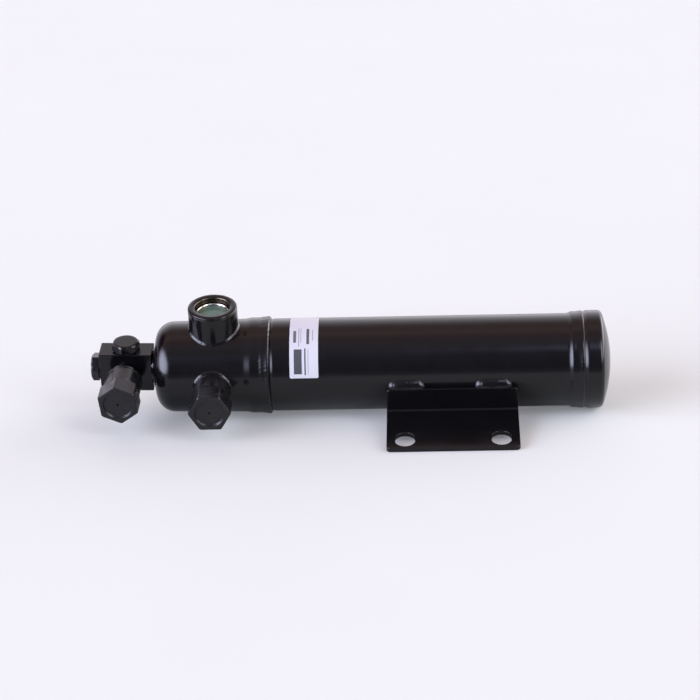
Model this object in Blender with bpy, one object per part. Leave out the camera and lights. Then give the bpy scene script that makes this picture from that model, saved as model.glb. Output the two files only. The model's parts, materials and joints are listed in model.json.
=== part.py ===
# Receiver drier of an air conditioning system, lying on its side as it comes to rest.
#
# Every piece is drawn in the drier's own frame: the vessel's axis is X with the piped head at -X,
# the sight glass looks up along +Z and the radial port looks forward along -Y.
# All pieces hang on one empty, rest_pose, which rolls the vessel forward until the weld beads and
# the bracket's front edge stand on the ground plane Z = 0.

import bmesh
import bpy
import math
from mathutils import Matrix

MM = 0.001
GAP = 0.3 * MM
MERGE = 0.001 * MM

# Vessel: shell tube
TUBE_RADIUS = 38.1 * MM
TUBE_WALL = 2.0 * MM
HEAD_JOINT_X = -68.0 * MM
CAP_JOINT_X = 189.0 * MM
SHOULDER_SHIFT = 1.0 * MM
RAMP_LENGTH = 3.0 * MM
BELL_LENGTH = 5.0 * MM
BELL_STEP = 1.4 * MM

# Vessel: domed head
HEAD_RADIUS = 37.3 * MM
HEAD_MOUTH_RADIUS = 38.4 * MM
HEAD_WALL = 2.2 * MM
SKIRT_RADIUS = 39.3 * MM
SKIRT_LENGTH = 6.0 * MM
JOGGLE_LENGTH = 9.5 * MM
HEAD_LENGTH = 89.5 * MM
CROWN_RADIUS = 150.0 * MM
KNUCKLE_RADIUS = 15.0 * MM

# Vessel: dished end cap
CAP_RADIUS = 40.2 * MM
CAP_WALL = 2.2 * MM
CAP_SPIGOT_LENGTH = 9.0 * MM
CAP_LAND_LENGTH = 12.5 * MM
CAP_KNUCKLE_RADIUS = 4.0 * MM
CAP_SHOULDER_CHAMFER = 1.6 * MM
CAP_SHOULDER_DROP = 0.9 * MM
CAP_CROWN_RADIUS = 120.0 * MM

# Grooves left between the edges that are welded
HEAD_GROOVE = 8.0 * MM
HEAD_GROOVE_LEFT = 4.5 * MM
CAP_GROOVE = 4.7 * MM
CAP_GROOVE_LEFT = 2.4 * MM

# Weld beads round the vessel
HEAD_BEAD_RADIUS = 40.1 * MM
HEAD_BEAD_TOE = 1.6 * MM
HEAD_BEAD_CREST = 3.9 * MM
CAP_BEAD_RADIUS = 40.8 * MM
CAP_BEAD_TOE = 2.8 * MM
CAP_BEAD_CREST = 1.7 * MM

# Stations of the sight glass and of the radial port along the head
GLASS_X = -111.0 * MM
PORT_X = -112.0 * MM

# Sight glass
BOSS_RADIUS = 20.2 * MM
BOSS_BORE_RADIUS = 9.0 * MM
BOSS_FILLET = 1.2 * MM
RIM_TOP_Z = 57.3 * MM
RIM_RADIUS = 20.1 * MM
RIM_LIP = 1.7 * MM
RIM_CREST_RADIUS = 17.3 * MM
RIM_MOUTH_RADIUS = 14.6 * MM
RIM_MOUTH_DROP = 0.7 * MM
RIM_GROOVE_DEPTH = 0.6 * MM
RIM_GROOVE_WIDTH = 1.0 * MM
GLASS_RADIUS = 13.8 * MM
GLASS_THICKNESS = 3.2 * MM
GLASS_TOP_Z = 50.6 * MM
GLASS_CHAMFER = 0.3 * MM
RETAINER_RADIUS = 13.0 * MM
RETAINER_BORE_RADIUS = 11.4 * MM
RETAINER_THICKNESS = 1.2 * MM
RETAINER_BEVEL = 0.7 * MM
SEAL_THICKNESS = 1.0 * MM
SEAL_LEDGE = 1.0 * MM
INDICATOR_THICKNESS = 1.4 * MM

# Radial port
PORT_STANDOFF = 1.2 * MM
PORT_FOOT_RADIUS = 15.2 * MM
PORT_FILLET = 2.0 * MM

# Threaded fittings under the protective caps
THREAD_RADIUS = 12.5 * MM
FITTING_BORE_RADIUS = 8.0 * MM
NOSE_CHAMFER = 1.2 * MM
ORING_WIRE_RADIUS = 1.1 * MM
ORING_SETBACK = 4.0 * MM
ORING_SQUEEZE = 0.85

# Protective caps
CAP_LENGTH = 35.0 * MM
CAP_FLATS = 30.4 * MM
CAP_HEX_LENGTH = 19.0 * MM
CAP_COLLAR_RADIUS = 15.1 * MM
CAP_COLLAR_CHAMFER = 0.4 * MM
CAP_CORNER_RADIUS = 17.3 * MM
CAP_CORNER_RUN = 2.6 * MM
CAP_FACE_CHAMFER = 0.8 * MM
CAP_BORE_RADIUS = 12.9 * MM
CAP_MOUTH_RADIUS = 14.5 * MM
CAP_MOUTH_DEPTH = 3.0 * MM
CAP_FACE_WALL = 4.0 * MM
CAP_DISH_RADIUS = 11.8 * MM
CAP_DISH_DEPTH = 1.5 * MM
CAP_DISH_SLOPE = 1.0 * MM
CAP_FLOAT = 3.9 * MM
OUTLET_CAP_TURN = math.radians(36.5)

# Outlet fitting in the block's front face
OUTLET_NOSE_P = 51.9 * MM
OUTLET_FLANGE = 2.8 * MM
OUTLET_FLANGE_RADIUS = 15.1 * MM
OUTLET_SHOULDER = 1.0 * MM
OUTLET_STEP = 2.5 * MM

# Manifold block at the head's apex
BLOCK_LENGTH = 43.8 * MM
BLOCK_DEPTH = 20.0 * MM
BLOCK_HEIGHT = 34.2 * MM
BLOCK_EDGE = 0.6 * MM
BLOCK_STANDOFF = 0.9 * MM
BLOCK_YAW = math.radians(-2.4)
DUCT_RADIUS = 5.5 * MM
PLUG_DUCT_RADIUS = 5.0 * MM
OUTLET_DUCT_RADIUS = 5.2 * MM
SOCKET_DEPTH = 6.0 * MM
SOCKET_CLEARANCE = 1.0 * MM
CUTTER_REACH = 2.0 * MM

# Neck between block and head
NECK_RADIUS = 9.0 * MM
NECK_BEAD_RADIUS = 13.4 * MM
NECK_BEAD_EDGE = 12.6 * MM
NECK_BEAD_LEFT = 1.2 * MM
NECK_BEAD_RIGHT = 2.4 * MM
NECK_INSIDE = 3.0 * MM

# Plugs of the block's cross drillings
PLUG_FLATS = 20.6 * MM
PLUG_HEAD = 6.2 * MM
PLUG_CHAMFER = 1.1 * MM
PLUG_CROWN = 0.3 * MM
PLUG_CROWN_RUN = 1.6 * MM
PLUG_SHANK_RADIUS = 6.8 * MM
PLUG_SHANK_LENGTH = 7.5 * MM
PLUG_SHANK_CHAMFER = 1.0 * MM
WASHER_RADIUS = 9.8 * MM
WASHER_THICKNESS = 0.5 * MM
TOP_PLUG_TURN = math.radians(-10.0)
END_PLUG_TURN = math.radians(12.0)

# Mounting bracket
BRACKET_LEFT_X = 29.8 * MM
BRACKET_WIDTH = 107.0 * MM
SHEET = 4.0 * MM
FOLD_RADIUS = 1.5 * MM
LEG_TOP_Z = 0.0
PLATE_TOP_Z = -20.2 * MM
PLATE_REACH = 97.0 * MM
PLATE_CORNER = 3.5 * MM
SLOT_WIDTH = 16.0 * MM
SLOT_LENGTH = 19.5 * MM
SLOT_SPACING = 77.2 * MM
SLOT_EDGE = 3.0 * MM
PUNCHED_EDGE = 0.35 * MM
STITCH_LENGTH = 30.0 * MM
STITCH_INSET_LEFT = 1.3 * MM
STITCH_INSET_RIGHT = 4.9 * MM
STITCH_HEIGHT = 6.6 * MM
STITCH_CROWN = 0.7 * MM
STITCH_LIP = 0.35 * MM
STITCH_TOE = 1.0 * MM
STITCH_STATIONS = 12
STITCH_END = 0.22

# Sticker
LABEL_LEFT_X = -48.3 * MM
LABEL_WIDTH = 23.3 * MM
LABEL_START = math.radians(14.3)
LABEL_END = math.radians(126.0)
LABEL_THICKNESS = 0.15 * MM

# Inside the vessel
PLATE_THICKNESS = 1.2 * MM
PLATE_HOLE_RADIUS = 3.2 * MM
PLATE_HOLE_CIRCLE = 21.0 * MM
PLATE_HOLES = 8
PAD_THICKNESS = 6.0 * MM
CHARGE_LENGTH = 196.0 * MM
PICKUP_RADIUS = 6.0 * MM
PICKUP_WALL = 0.9 * MM
PICKUP_END_X = 196.0 * MM
PICKUP_SETBACK = 1.0 * MM
STRAINER_RADIUS = 9.5 * MM
STRAINER_WALL = 0.8 * MM
STRAINER_LENGTH = 16.0 * MM
STRAINER_OVERLAP = 9.6 * MM
SPRING_RADIUS = 27.0 * MM
SPRING_WIRE = 1.5 * MM
SPRING_TURNS = 5
SPRING_STEPS = 16
SPRING_SIDES = 5
SPRING_CLOSED_PITCH = 3.3 * MM

# Facets round a full turn
ROUND_LARGE = 48
ROUND_MEDIUM = 32
ROUND_SMALL = 20

# Places that follow from the sizes above
SKIRT_END_X = HEAD_JOINT_X - HEAD_GROOVE_LEFT
HEAD_APEX_X = SKIRT_END_X - HEAD_LENGTH
JOGGLE_END_X = SKIRT_END_X - SKIRT_LENGTH
JOGGLE_START_X = JOGGLE_END_X - JOGGLE_LENGTH
TUBE_START_X = SKIRT_END_X + HEAD_GROOVE
TUBE_END_X = CAP_JOINT_X - CAP_GROOVE_LEFT
CAP_SHOULDER_X = TUBE_END_X + CAP_GROOVE
SPIGOT_RADIUS = SKIRT_RADIUS - HEAD_WALL - GAP
BELL_RADIUS = TUBE_RADIUS + BELL_STEP
CAP_RIM_X = CAP_SHOULDER_X + CAP_LAND_LENGTH
CAP_DISH_HALF = math.asin((CAP_RADIUS - CAP_KNUCKLE_RADIUS) / (CAP_CROWN_RADIUS - CAP_KNUCKLE_RADIUS))
CAP_DISH_X = CAP_RIM_X - (CAP_CROWN_RADIUS - CAP_KNUCKLE_RADIUS) * math.cos(CAP_DISH_HALF)
CAP_APEX_X = CAP_DISH_X + CAP_CROWN_RADIUS
CAP_SEAT_OFFSET = CAP_FLOAT - (CAP_LENGTH - CAP_FACE_WALL)
PORT_CAP_SEAT_P = HEAD_RADIUS + PORT_STANDOFF
PORT_NOSE_P = PORT_CAP_SEAT_P - CAP_SEAT_OFFSET
OUTLET_CAP_SEAT_P = OUTLET_NOSE_P + CAP_SEAT_OFFSET
BLOCK_RIGHT_X = HEAD_APEX_X - BLOCK_STANDOFF
BLOCK_LEFT_X = BLOCK_RIGHT_X - BLOCK_LENGTH
BLOCK_MID_X = (BLOCK_LEFT_X + BLOCK_RIGHT_X) / 2
PLATE_BOTTOM_Z = PLATE_TOP_Z - SHEET
LEG_P = TUBE_RADIUS + GAP
SHELL_INNER = TUBE_RADIUS - TUBE_WALL
ORING_FLOOR = THREAD_RADIUS - 2 * ORING_WIRE_RADIUS


# Scene and materials

def clear_scene():
    """Remove what the start-up scene holds."""
    for thing in list(bpy.data.objects):
        bpy.data.objects.remove(thing, do_unlink=True)


def make_material(name, colour, roughness, metallic=0.0):
    """A Principled material from an RGB colour."""
    material = bpy.data.materials.new(name)
    material.use_nodes = True
    shader = material.node_tree.nodes["Principled BSDF"]
    shader.inputs["Base Color"].default_value = (*colour, 1.0)
    shader.inputs["Roughness"].default_value = roughness
    shader.inputs["Metallic"].default_value = metallic
    material.diffuse_color = (*colour, 1.0)
    return material


def make_mesh(name, shape):
    """Close a shape into a mesh whose faces point outwards."""
    bmesh.ops.recalc_face_normals(shape, faces=shape.faces)
    if shape.calc_volume(signed=True) < 0.0:
        bmesh.ops.reverse_faces(shape, faces=shape.faces)
    mesh = bpy.data.meshes.new(name)
    shape.to_mesh(mesh)
    shape.free()
    return mesh


def add_piece(name, shape, material, parent, smooth_angle=35.0):
    """Turn a shape into a named object that hangs on the parent."""
    mesh = make_mesh(name, shape)
    mesh.shade_smooth()
    mesh.set_sharp_from_angle(angle=math.radians(smooth_angle))
    mesh.materials.append(material)
    piece = bpy.data.objects.new(name, mesh)
    bpy.context.collection.objects.link(piece)
    piece.parent = parent
    return piece


def add_cutter(name, shape, parent):
    """A helper solid that only shapes other pieces."""
    cutter = bpy.data.objects.new(name, make_mesh(name, shape))
    bpy.context.collection.objects.link(cutter)
    cutter.parent = parent
    cutter.hide_render = True
    cutter.display_type = "WIRE"
    return cutter


def combine(piece, cutter, operation):
    """Boolean the piece with a cutter."""
    modifier = piece.modifiers.new(cutter.name, "BOOLEAN")
    modifier.operation = operation
    modifier.object = cutter
    modifier.solver = "EXACT"


# Frames: each turned part is drawn round +X and then laid along the axis it belongs to

def along_x(x=0.0):
    """Turned axis on the vessel's axis."""
    return Matrix.Translation((x, 0.0, 0.0))


def facing_forward(x, p=0.0):
    """Turned axis pointing forward, from the point p in front of the vessel's axis."""
    return Matrix.Translation((x, -p, 0.0)) @ Matrix.Rotation(-math.pi / 2, 4, "Z")


def facing_up(x, z=0.0):
    """Turned axis pointing up, from the height z."""
    return Matrix.Translation((x, 0.0, z)) @ Matrix.Rotation(-math.pi / 2, 4, "Y")


def facing_left(x):
    """Turned axis pointing along -X."""
    return Matrix.Translation((x, 0.0, 0.0)) @ Matrix.Rotation(math.pi, 4, "Z")


def block_frame():
    """The block and all it carries turn a little about the neck, as they were welded."""
    pivot = Matrix.Translation((BLOCK_RIGHT_X, 0.0, 0.0))
    return pivot @ Matrix.Rotation(BLOCK_YAW, 4, "Z") @ pivot.inverted()


# Shapes

def revolve(outline, frame, steps):
    """Spin a closed outline of (along, radius) points round the frame's +X axis."""
    shape = bmesh.new()
    corners = [shape.verts.new((along, radius, 0.0)) for along, radius in outline]
    edges = []
    for index, corner in enumerate(corners):
        following = corners[(index + 1) % len(corners)]
        on_axis = max(corner.co.y, following.co.y) < MERGE
        if not on_axis:
            edges.append(shape.edges.new((corner, following)))
    bmesh.ops.spin(
        shape,
        geom=corners + edges,
        cent=(0.0, 0.0, 0.0),
        axis=(1.0, 0.0, 0.0),
        angle=2 * math.pi,
        steps=steps,
        use_merge=True,
    )
    bmesh.ops.remove_doubles(shape, verts=shape.verts, dist=MERGE)
    shape.transform(frame)
    return shape


def prism(sides, flats, start, end, frame, turn=0.0):
    """A regular prism along the frame's +X axis, given its size across flats."""
    shape = bmesh.new()
    radius = flats / 2 / math.cos(math.pi / sides)
    ring = []
    for index in range(sides):
        angle = turn + 2 * math.pi * index / sides
        ring.append(shape.verts.new((start, radius * math.cos(angle), radius * math.sin(angle))))
    face = shape.faces.new(ring)
    extruded = bmesh.ops.extrude_face_region(shape, geom=[face])["geom"]
    moved = [item for item in extruded if isinstance(item, bmesh.types.BMVert)]
    bmesh.ops.translate(shape, verts=moved, vec=(end - start, 0.0, 0.0))
    shape.transform(frame)
    return shape


def cylinders(places, radius, start, end, steps):
    """Separate cylinders along X in one mesh, each at a (y, z) place."""
    shape = bmesh.new()
    middle = (start + end) / 2
    for y, z in places:
        frame = Matrix.Translation((middle, y, z)) @ Matrix.Rotation(math.pi / 2, 4, "Y")
        bmesh.ops.create_cone(
            shape,
            cap_ends=True,
            segments=steps,
            radius1=radius,
            radius2=radius,
            depth=end - start,
            matrix=frame,
        )
    return shape


def arc(centre, radius, start, end, steps):
    """Points of an arc in the (along, radius) plane, angles in degrees."""
    points = []
    for index in range(steps + 1):
        angle = math.radians(start + (end - start) * index / steps)
        points.append((centre[0] + radius * math.cos(angle), centre[1] + radius * math.sin(angle)))
    return points


def bead(start, end, steps):
    """Points of a smooth rise from start to a flat top at end, in the (along, radius) plane."""
    points = []
    for index in range(steps + 1):
        share = index / steps
        lift = math.sin(share * math.pi / 2) ** 2
        points.append((start[0] + (end[0] - start[0]) * share, start[1] + (end[1] - start[1]) * lift))
    return points


# Vessel

def dome_outline(apex, crown, knuckle, radius, crown_steps, knuckle_steps):
    """Torispherical dome that bulges to -X, from its apex to the tangent of the straight wall."""
    knuckle_r = radius - knuckle
    half = math.asin(knuckle_r / (crown - knuckle))
    knuckle_x = apex + crown - (crown - knuckle) * math.cos(half)
    points = []
    for index in range(crown_steps + 1):
        angle = half * index / crown_steps
        points.append((apex + crown * (1 - math.cos(angle)), crown * math.sin(angle)))
    for index in range(1, knuckle_steps + 1):
        angle = half + (math.pi / 2 - half) * index / knuckle_steps
        points.append((knuckle_x - knuckle * math.cos(angle), knuckle_r + knuckle * math.sin(angle)))
    return points


def head_outer_radius(x):
    """Outer radius of the head's straight wall at x."""
    start = HEAD_APEX_X + KNUCKLE_RADIUS
    share = min(1.0, max(0.0, (x - start) / (JOGGLE_START_X - start)))
    return HEAD_RADIUS + (HEAD_MOUTH_RADIUS - HEAD_RADIUS) * share


def build_shell_tube(steel, parent):
    """Tube with a swaged end under the head's skirt and a belled end over the cap's spigot."""
    swage_x = JOGGLE_END_X + GAP
    bell_x = TUBE_END_X - BELL_LENGTH
    outline = [
        (swage_x, SPIGOT_RADIUS),
        (TUBE_START_X - RAMP_LENGTH, SPIGOT_RADIUS),
        (TUBE_START_X, TUBE_RADIUS),
        (bell_x - RAMP_LENGTH, TUBE_RADIUS),
        (bell_x, BELL_RADIUS),
        (TUBE_END_X, BELL_RADIUS),
        (TUBE_END_X, BELL_RADIUS - TUBE_WALL),
        (bell_x, BELL_RADIUS - TUBE_WALL),
        (bell_x - RAMP_LENGTH, SHELL_INNER),
        (TUBE_START_X + SHOULDER_SHIFT, SHELL_INNER),
        (TUBE_START_X - RAMP_LENGTH + SHOULDER_SHIFT, SPIGOT_RADIUS - TUBE_WALL),
        (swage_x, SPIGOT_RADIUS - TUBE_WALL),
    ]
    return add_piece("shell_tube", revolve(outline, along_x(), ROUND_LARGE), steel, parent, 20.0)


def build_inlet_head(steel, parent):
    """Deep drawn head: dome, slightly conical wall and a joggled skirt over the tube."""
    outer = dome_outline(HEAD_APEX_X, CROWN_RADIUS, KNUCKLE_RADIUS, HEAD_RADIUS, 3, 6)
    outer += [(JOGGLE_START_X, HEAD_MOUTH_RADIUS), (JOGGLE_END_X, SKIRT_RADIUS), (SKIRT_END_X, SKIRT_RADIUS)]
    inner = dome_outline(
        HEAD_APEX_X + HEAD_WALL,
        CROWN_RADIUS - HEAD_WALL,
        KNUCKLE_RADIUS - HEAD_WALL,
        HEAD_RADIUS - HEAD_WALL,
        2,
        3,
    )
    inner += [
        (JOGGLE_START_X, HEAD_MOUTH_RADIUS - HEAD_WALL),
        (JOGGLE_END_X, SKIRT_RADIUS - HEAD_WALL),
        (SKIRT_END_X, SKIRT_RADIUS - HEAD_WALL),
    ]
    outline = outer + inner[::-1]
    head = add_piece("inlet_head", revolve(outline, along_x(), ROUND_LARGE), steel, parent, 20.0)

    outside = HEAD_RADIUS + 5 * CUTTER_REACH
    inside = HEAD_RADIUS / 2
    neck = rod(BLOCK_RIGHT_X, HEAD_APEX_X + HEAD_WALL + 2 * CUTTER_REACH, NECK_RADIUS + GAP)
    port = rod(inside, outside, FITTING_BORE_RADIUS)
    glass = rod(inside, outside, BOSS_BORE_RADIUS)
    holes = (
        ("neck_hole", neck, block_frame()),
        ("port_hole", port, facing_forward(PORT_X)),
        ("glass_hole", glass, facing_up(GLASS_X)),
    )
    for name, outline, frame in holes:
        combine(head, add_cutter(name, revolve(outline, frame, ROUND_SMALL), parent), "DIFFERENCE")
    return head


def rod(start, end, radius):
    """Outline of a solid rod."""
    return [(start, 0.0), (start, radius), (end, radius), (end, 0.0)]


def sleeve(start, end, outer, inner):
    """Outline of a plain sleeve or ring."""
    return [(start, inner), (start, outer), (end, outer), (end, inner)]


def build_end_cap(steel, parent):
    """Dished end cap with a spigot inside the belled tube."""
    spigot_r = BELL_RADIUS - TUBE_WALL - GAP
    spigot_x = CAP_SHOULDER_X - CAP_SPIGOT_LENGTH
    outer = [(spigot_x, spigot_r), (CAP_SHOULDER_X, spigot_r)]
    outer.append((CAP_SHOULDER_X, CAP_RADIUS - CAP_SHOULDER_DROP))
    outer.append((CAP_SHOULDER_X + CAP_SHOULDER_CHAMFER, CAP_RADIUS))
    dish = dome_outline(-CAP_APEX_X, CAP_CROWN_RADIUS, CAP_KNUCKLE_RADIUS, CAP_RADIUS, 4, 3)
    outer += [(-x, r) for x, r in reversed(dish)]
    inner_crown = CAP_CROWN_RADIUS - CAP_WALL
    inner_half = math.degrees(math.asin((spigot_r - 2 * CAP_WALL) / inner_crown))
    hollow = arc((CAP_DISH_X, 0.0), inner_crown, 0, inner_half, 3)
    outline = outer + hollow
    outline.append((CAP_RIM_X, spigot_r - CAP_WALL))
    outline.append((spigot_x, spigot_r - CAP_WALL))
    return add_piece("end_cap", revolve(outline, along_x(), ROUND_LARGE), steel, parent, 25.0)


def build_head_weld(steel, parent):
    """Bead that fills the groove between skirt and tube."""
    root = SPIGOT_RADIUS + GAP
    skirt = SKIRT_RADIUS + GAP
    tube = TUBE_RADIUS + GAP
    peak_x = SKIRT_END_X + HEAD_BEAD_CREST
    left_toe = (SKIRT_END_X - HEAD_BEAD_TOE, skirt)
    right_toe = (TUBE_START_X + HEAD_BEAD_TOE + GAP, tube)
    rise = bead(left_toe, (peak_x, HEAD_BEAD_RADIUS), 2)
    fall = bead(right_toe, (peak_x, HEAD_BEAD_RADIUS), 3)[::-1]
    outline = rise + fall[1:]
    outline.append((TUBE_START_X, tube))
    outline.append((TUBE_START_X - RAMP_LENGTH, root))
    outline.append((SKIRT_END_X + GAP, root))
    outline.append((SKIRT_END_X + GAP, skirt))
    return add_piece("head_weld", revolve(outline, along_x(), ROUND_LARGE), steel, parent, 40.0)


def build_cap_weld(steel, parent):
    """Bead that fills the groove between tube and end cap."""
    root = BELL_RADIUS - TUBE_WALL
    bell = BELL_RADIUS + GAP
    right_x = CAP_SHOULDER_X - GAP
    peak_x = TUBE_END_X + CAP_BEAD_CREST
    rise = bead((TUBE_END_X - CAP_BEAD_TOE, bell), (peak_x, CAP_BEAD_RADIUS), 3)
    fall = bead((right_x, CAP_RADIUS - CAP_SHOULDER_DROP + GAP), (peak_x, CAP_BEAD_RADIUS), 2)[::-1]
    outline = rise + fall[1:]
    outline.append((right_x, root))
    outline.append((TUBE_END_X + GAP, root))
    outline.append((TUBE_END_X + GAP, bell))
    return add_piece("cap_weld", revolve(outline, along_x(), ROUND_LARGE), steel, parent, 40.0)


# Sight glass

def build_saddle_cutter(name, parent):
    """The head's wall with the seating gap, as a solid that undercuts what stands on it."""
    left = HEAD_APEX_X + KNUCKLE_RADIUS
    right = JOGGLE_START_X
    outline = [
        (left, 0.0),
        (left, head_outer_radius(left) + GAP),
        (right, head_outer_radius(right) + GAP),
        (right, 0.0),
    ]
    return add_cutter(name, revolve(outline, along_x(), ROUND_LARGE), parent)


def saddle_fillet(station, inner, leg, steps, forward):
    """Fillet ring where a round foot of the given radius stands on the head's wall."""
    shape = bmesh.new()
    rings = []
    section = [(0.0, 0.0), (1.0, 0.0), (0.42, 0.30), (0.14, 0.62), (0.0, 1.0)]
    for index in range(steps):
        turn = 2 * math.pi * index / steps
        ring = []
        for out, up in section:
            reach = inner + leg * out
            along = reach * math.cos(turn)
            across = reach * math.sin(turn)
            wall = head_outer_radius(station + along) + GAP
            height = math.sqrt(wall ** 2 - across ** 2) + leg * up
            if forward:
                place = (station + along, -height, across)
            else:
                place = (station + along, across, height)
            ring.append(shape.verts.new(place))
        rings.append(ring)
    count = len(section)
    for index, ring in enumerate(rings):
        following = rings[(index + 1) % steps]
        for k in range(count):
            nxt = (k + 1) % count
            shape.faces.new((ring[k], ring[nxt], following[nxt], following[k]))
    return shape


def build_sight_glass(steel, plated, rubber, glass, indicator, parent):
    """Boss with its rolled rim, and the stack of glass, gasket, ring and indicator in it."""
    glass_seat = GLASS_TOP_Z - GLASS_THICKNESS - SEAL_THICKNESS - 2 * GAP
    lip_z = RIM_TOP_Z - RIM_LIP
    groove_z = lip_z - RIM_GROOVE_WIDTH
    pocket = GLASS_RADIUS + GAP
    outline = [
        (HEAD_RADIUS / 2, BOSS_BORE_RADIUS),
        (HEAD_RADIUS / 2, BOSS_RADIUS),
        (groove_z, BOSS_RADIUS),
        ((groove_z + lip_z) / 2, BOSS_RADIUS - RIM_GROOVE_DEPTH),
    ]
    for degrees in (0, 35, 65, 90):
        lift = RIM_LIP * math.sin(math.radians(degrees))
        reach = (RIM_RADIUS - RIM_CREST_RADIUS) * math.cos(math.radians(degrees))
        outline.append((lip_z + lift, RIM_CREST_RADIUS + reach))
    outline += [
        (RIM_TOP_Z - RIM_MOUTH_DROP, RIM_MOUTH_RADIUS),
        (RIM_TOP_Z - 2 * RIM_MOUTH_DROP, pocket),
        (glass_seat, pocket),
        (glass_seat, BOSS_BORE_RADIUS),
    ]
    stand = facing_up(GLASS_X)
    boss = add_piece("sight_glass_boss", revolve(outline, stand, ROUND_LARGE - 8), steel, parent, 30.0)
    combine(boss, build_saddle_cutter("boss_saddle", parent), "DIFFERENCE")

    weld = saddle_fillet(GLASS_X, BOSS_RADIUS + GAP, BOSS_FILLET, ROUND_MEDIUM, forward=False)
    add_piece("sight_glass_weld", weld, steel, parent, 50.0)

    seal_z = glass_seat + GAP
    seal = sleeve(seal_z, seal_z + SEAL_THICKNESS, GLASS_RADIUS, BOSS_BORE_RADIUS + SEAL_LEDGE)
    add_piece("sight_glass_seal", revolve(seal, stand, ROUND_SMALL), rubber, parent)

    lens_z = GLASS_TOP_Z - GLASS_THICKNESS
    lens = [
        (lens_z, 0.0),
        (lens_z, GLASS_RADIUS),
        (GLASS_TOP_Z - GLASS_CHAMFER, GLASS_RADIUS),
        (GLASS_TOP_Z, GLASS_RADIUS - GLASS_CHAMFER),
        (GLASS_TOP_Z, 0.0),
    ]
    add_piece("sight_glass_lens", revolve(lens, stand, ROUND_MEDIUM), glass, parent)

    ring_z = GLASS_TOP_Z + GAP
    ring_top = ring_z + RETAINER_THICKNESS
    ring = [
        (ring_z, RETAINER_BORE_RADIUS),
        (ring_z, RETAINER_RADIUS),
        (ring_top, RETAINER_RADIUS),
        (ring_top, RETAINER_BORE_RADIUS + RETAINER_BEVEL),
        (ring_top - RETAINER_BEVEL, RETAINER_BORE_RADIUS),
    ]
    add_piece("sight_glass_ring", revolve(ring, stand, ROUND_MEDIUM), plated, parent)

    disc_z = glass_seat - INDICATOR_THICKNESS - GAP
    disc = rod(disc_z, disc_z + INDICATOR_THICKNESS, BOSS_BORE_RADIUS - GAP)
    add_piece("moisture_indicator", revolve(disc, stand, ROUND_SMALL), indicator, parent)


# Fittings and their protective caps

def nose_outline(start, nose):
    """Outline of a threaded fitting from its foot to its nose, with an O-ring groove."""
    groove = nose - ORING_SETBACK
    half = ORING_WIRE_RADIUS + GAP
    return [
        (start, FITTING_BORE_RADIUS),
        (start, THREAD_RADIUS),
        (groove - half, THREAD_RADIUS),
        (groove - half, ORING_FLOOR),
        (groove + half, ORING_FLOOR),
        (groove + half, THREAD_RADIUS),
        (nose - NOSE_CHAMFER, THREAD_RADIUS),
        (nose, THREAD_RADIUS - NOSE_CHAMFER),
        (nose, FITTING_BORE_RADIUS),
    ]


def oring_shape(nose, frame):
    """O-ring that lies in the nose's groove."""
    wire = ORING_WIRE_RADIUS * ORING_SQUEEZE
    centre = (nose - ORING_SETBACK, ORING_FLOOR + GAP + wire)
    outline = arc(centre, wire, 0, 315, 7)
    return revolve(outline, frame, ROUND_SMALL)


def cap_shape(frame):
    """Cap body turned from the mouth at 0 to the face at CAP_LENGTH."""
    hex_start = CAP_LENGTH - CAP_HEX_LENGTH
    outline = [
        (0.0, CAP_MOUTH_RADIUS),
        (0.0, CAP_COLLAR_RADIUS - CAP_COLLAR_CHAMFER),
        (CAP_COLLAR_CHAMFER, CAP_COLLAR_RADIUS),
        (hex_start, CAP_COLLAR_RADIUS),
        (hex_start + CAP_CORNER_RUN, CAP_CORNER_RADIUS),
        (CAP_LENGTH - CAP_FACE_CHAMFER, CAP_CORNER_RADIUS),
        (CAP_LENGTH, CAP_CORNER_RADIUS - CAP_FACE_CHAMFER),
        (CAP_LENGTH, CAP_DISH_RADIUS),
        (CAP_LENGTH - CAP_DISH_DEPTH, CAP_DISH_RADIUS - CAP_DISH_SLOPE),
        (CAP_LENGTH - CAP_DISH_DEPTH, 0.0),
        (CAP_LENGTH - CAP_FACE_WALL, 0.0),
        (CAP_LENGTH - CAP_FACE_WALL, CAP_BORE_RADIUS),
        (CAP_MOUTH_DEPTH, CAP_BORE_RADIUS),
        (CAP_MOUTH_DEPTH, CAP_MOUTH_RADIUS),
    ]
    return revolve(outline, frame, ROUND_MEDIUM + 4)


def build_protective_cap(name, frame, turn, plastic, parent):
    """Moulded cap: a round collar that runs out into a hexagonal head."""
    cap = add_piece(name, cap_shape(frame), plastic, parent, 25.0)
    hexagon = prism(6, CAP_FLATS, -CUTTER_REACH, CAP_LENGTH + CUTTER_REACH, frame, turn)
    combine(cap, add_cutter(name + "_hexagon", hexagon, parent), "INTERSECT")
    return cap


def build_port(steel, rubber, plastic, parent):
    """Radial port: welded fitting with its foot, O-ring and cap."""
    frame = facing_forward(PORT_X)
    foot_end = PORT_CAP_SEAT_P - GAP
    foot = [
        (HEAD_RADIUS / 2, FITTING_BORE_RADIUS),
        (HEAD_RADIUS / 2, PORT_FOOT_RADIUS),
        (foot_end, PORT_FOOT_RADIUS),
    ]
    outline = foot + nose_outline(foot_end, PORT_NOSE_P)[1:]
    fitting = add_piece("port_fitting", revolve(outline, frame, ROUND_MEDIUM), steel, parent, 30.0)
    combine(fitting, build_saddle_cutter("port_saddle", parent), "DIFFERENCE")
    weld = saddle_fillet(PORT_X, PORT_FOOT_RADIUS + GAP, PORT_FILLET, ROUND_MEDIUM, forward=True)
    add_piece("port_weld", weld, steel, parent, 50.0)
    add_piece("port_oring", oring_shape(PORT_NOSE_P, frame), rubber, parent)
    build_protective_cap("port_cap", facing_forward(PORT_X, PORT_CAP_SEAT_P), 0.0, plastic, parent)


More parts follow.
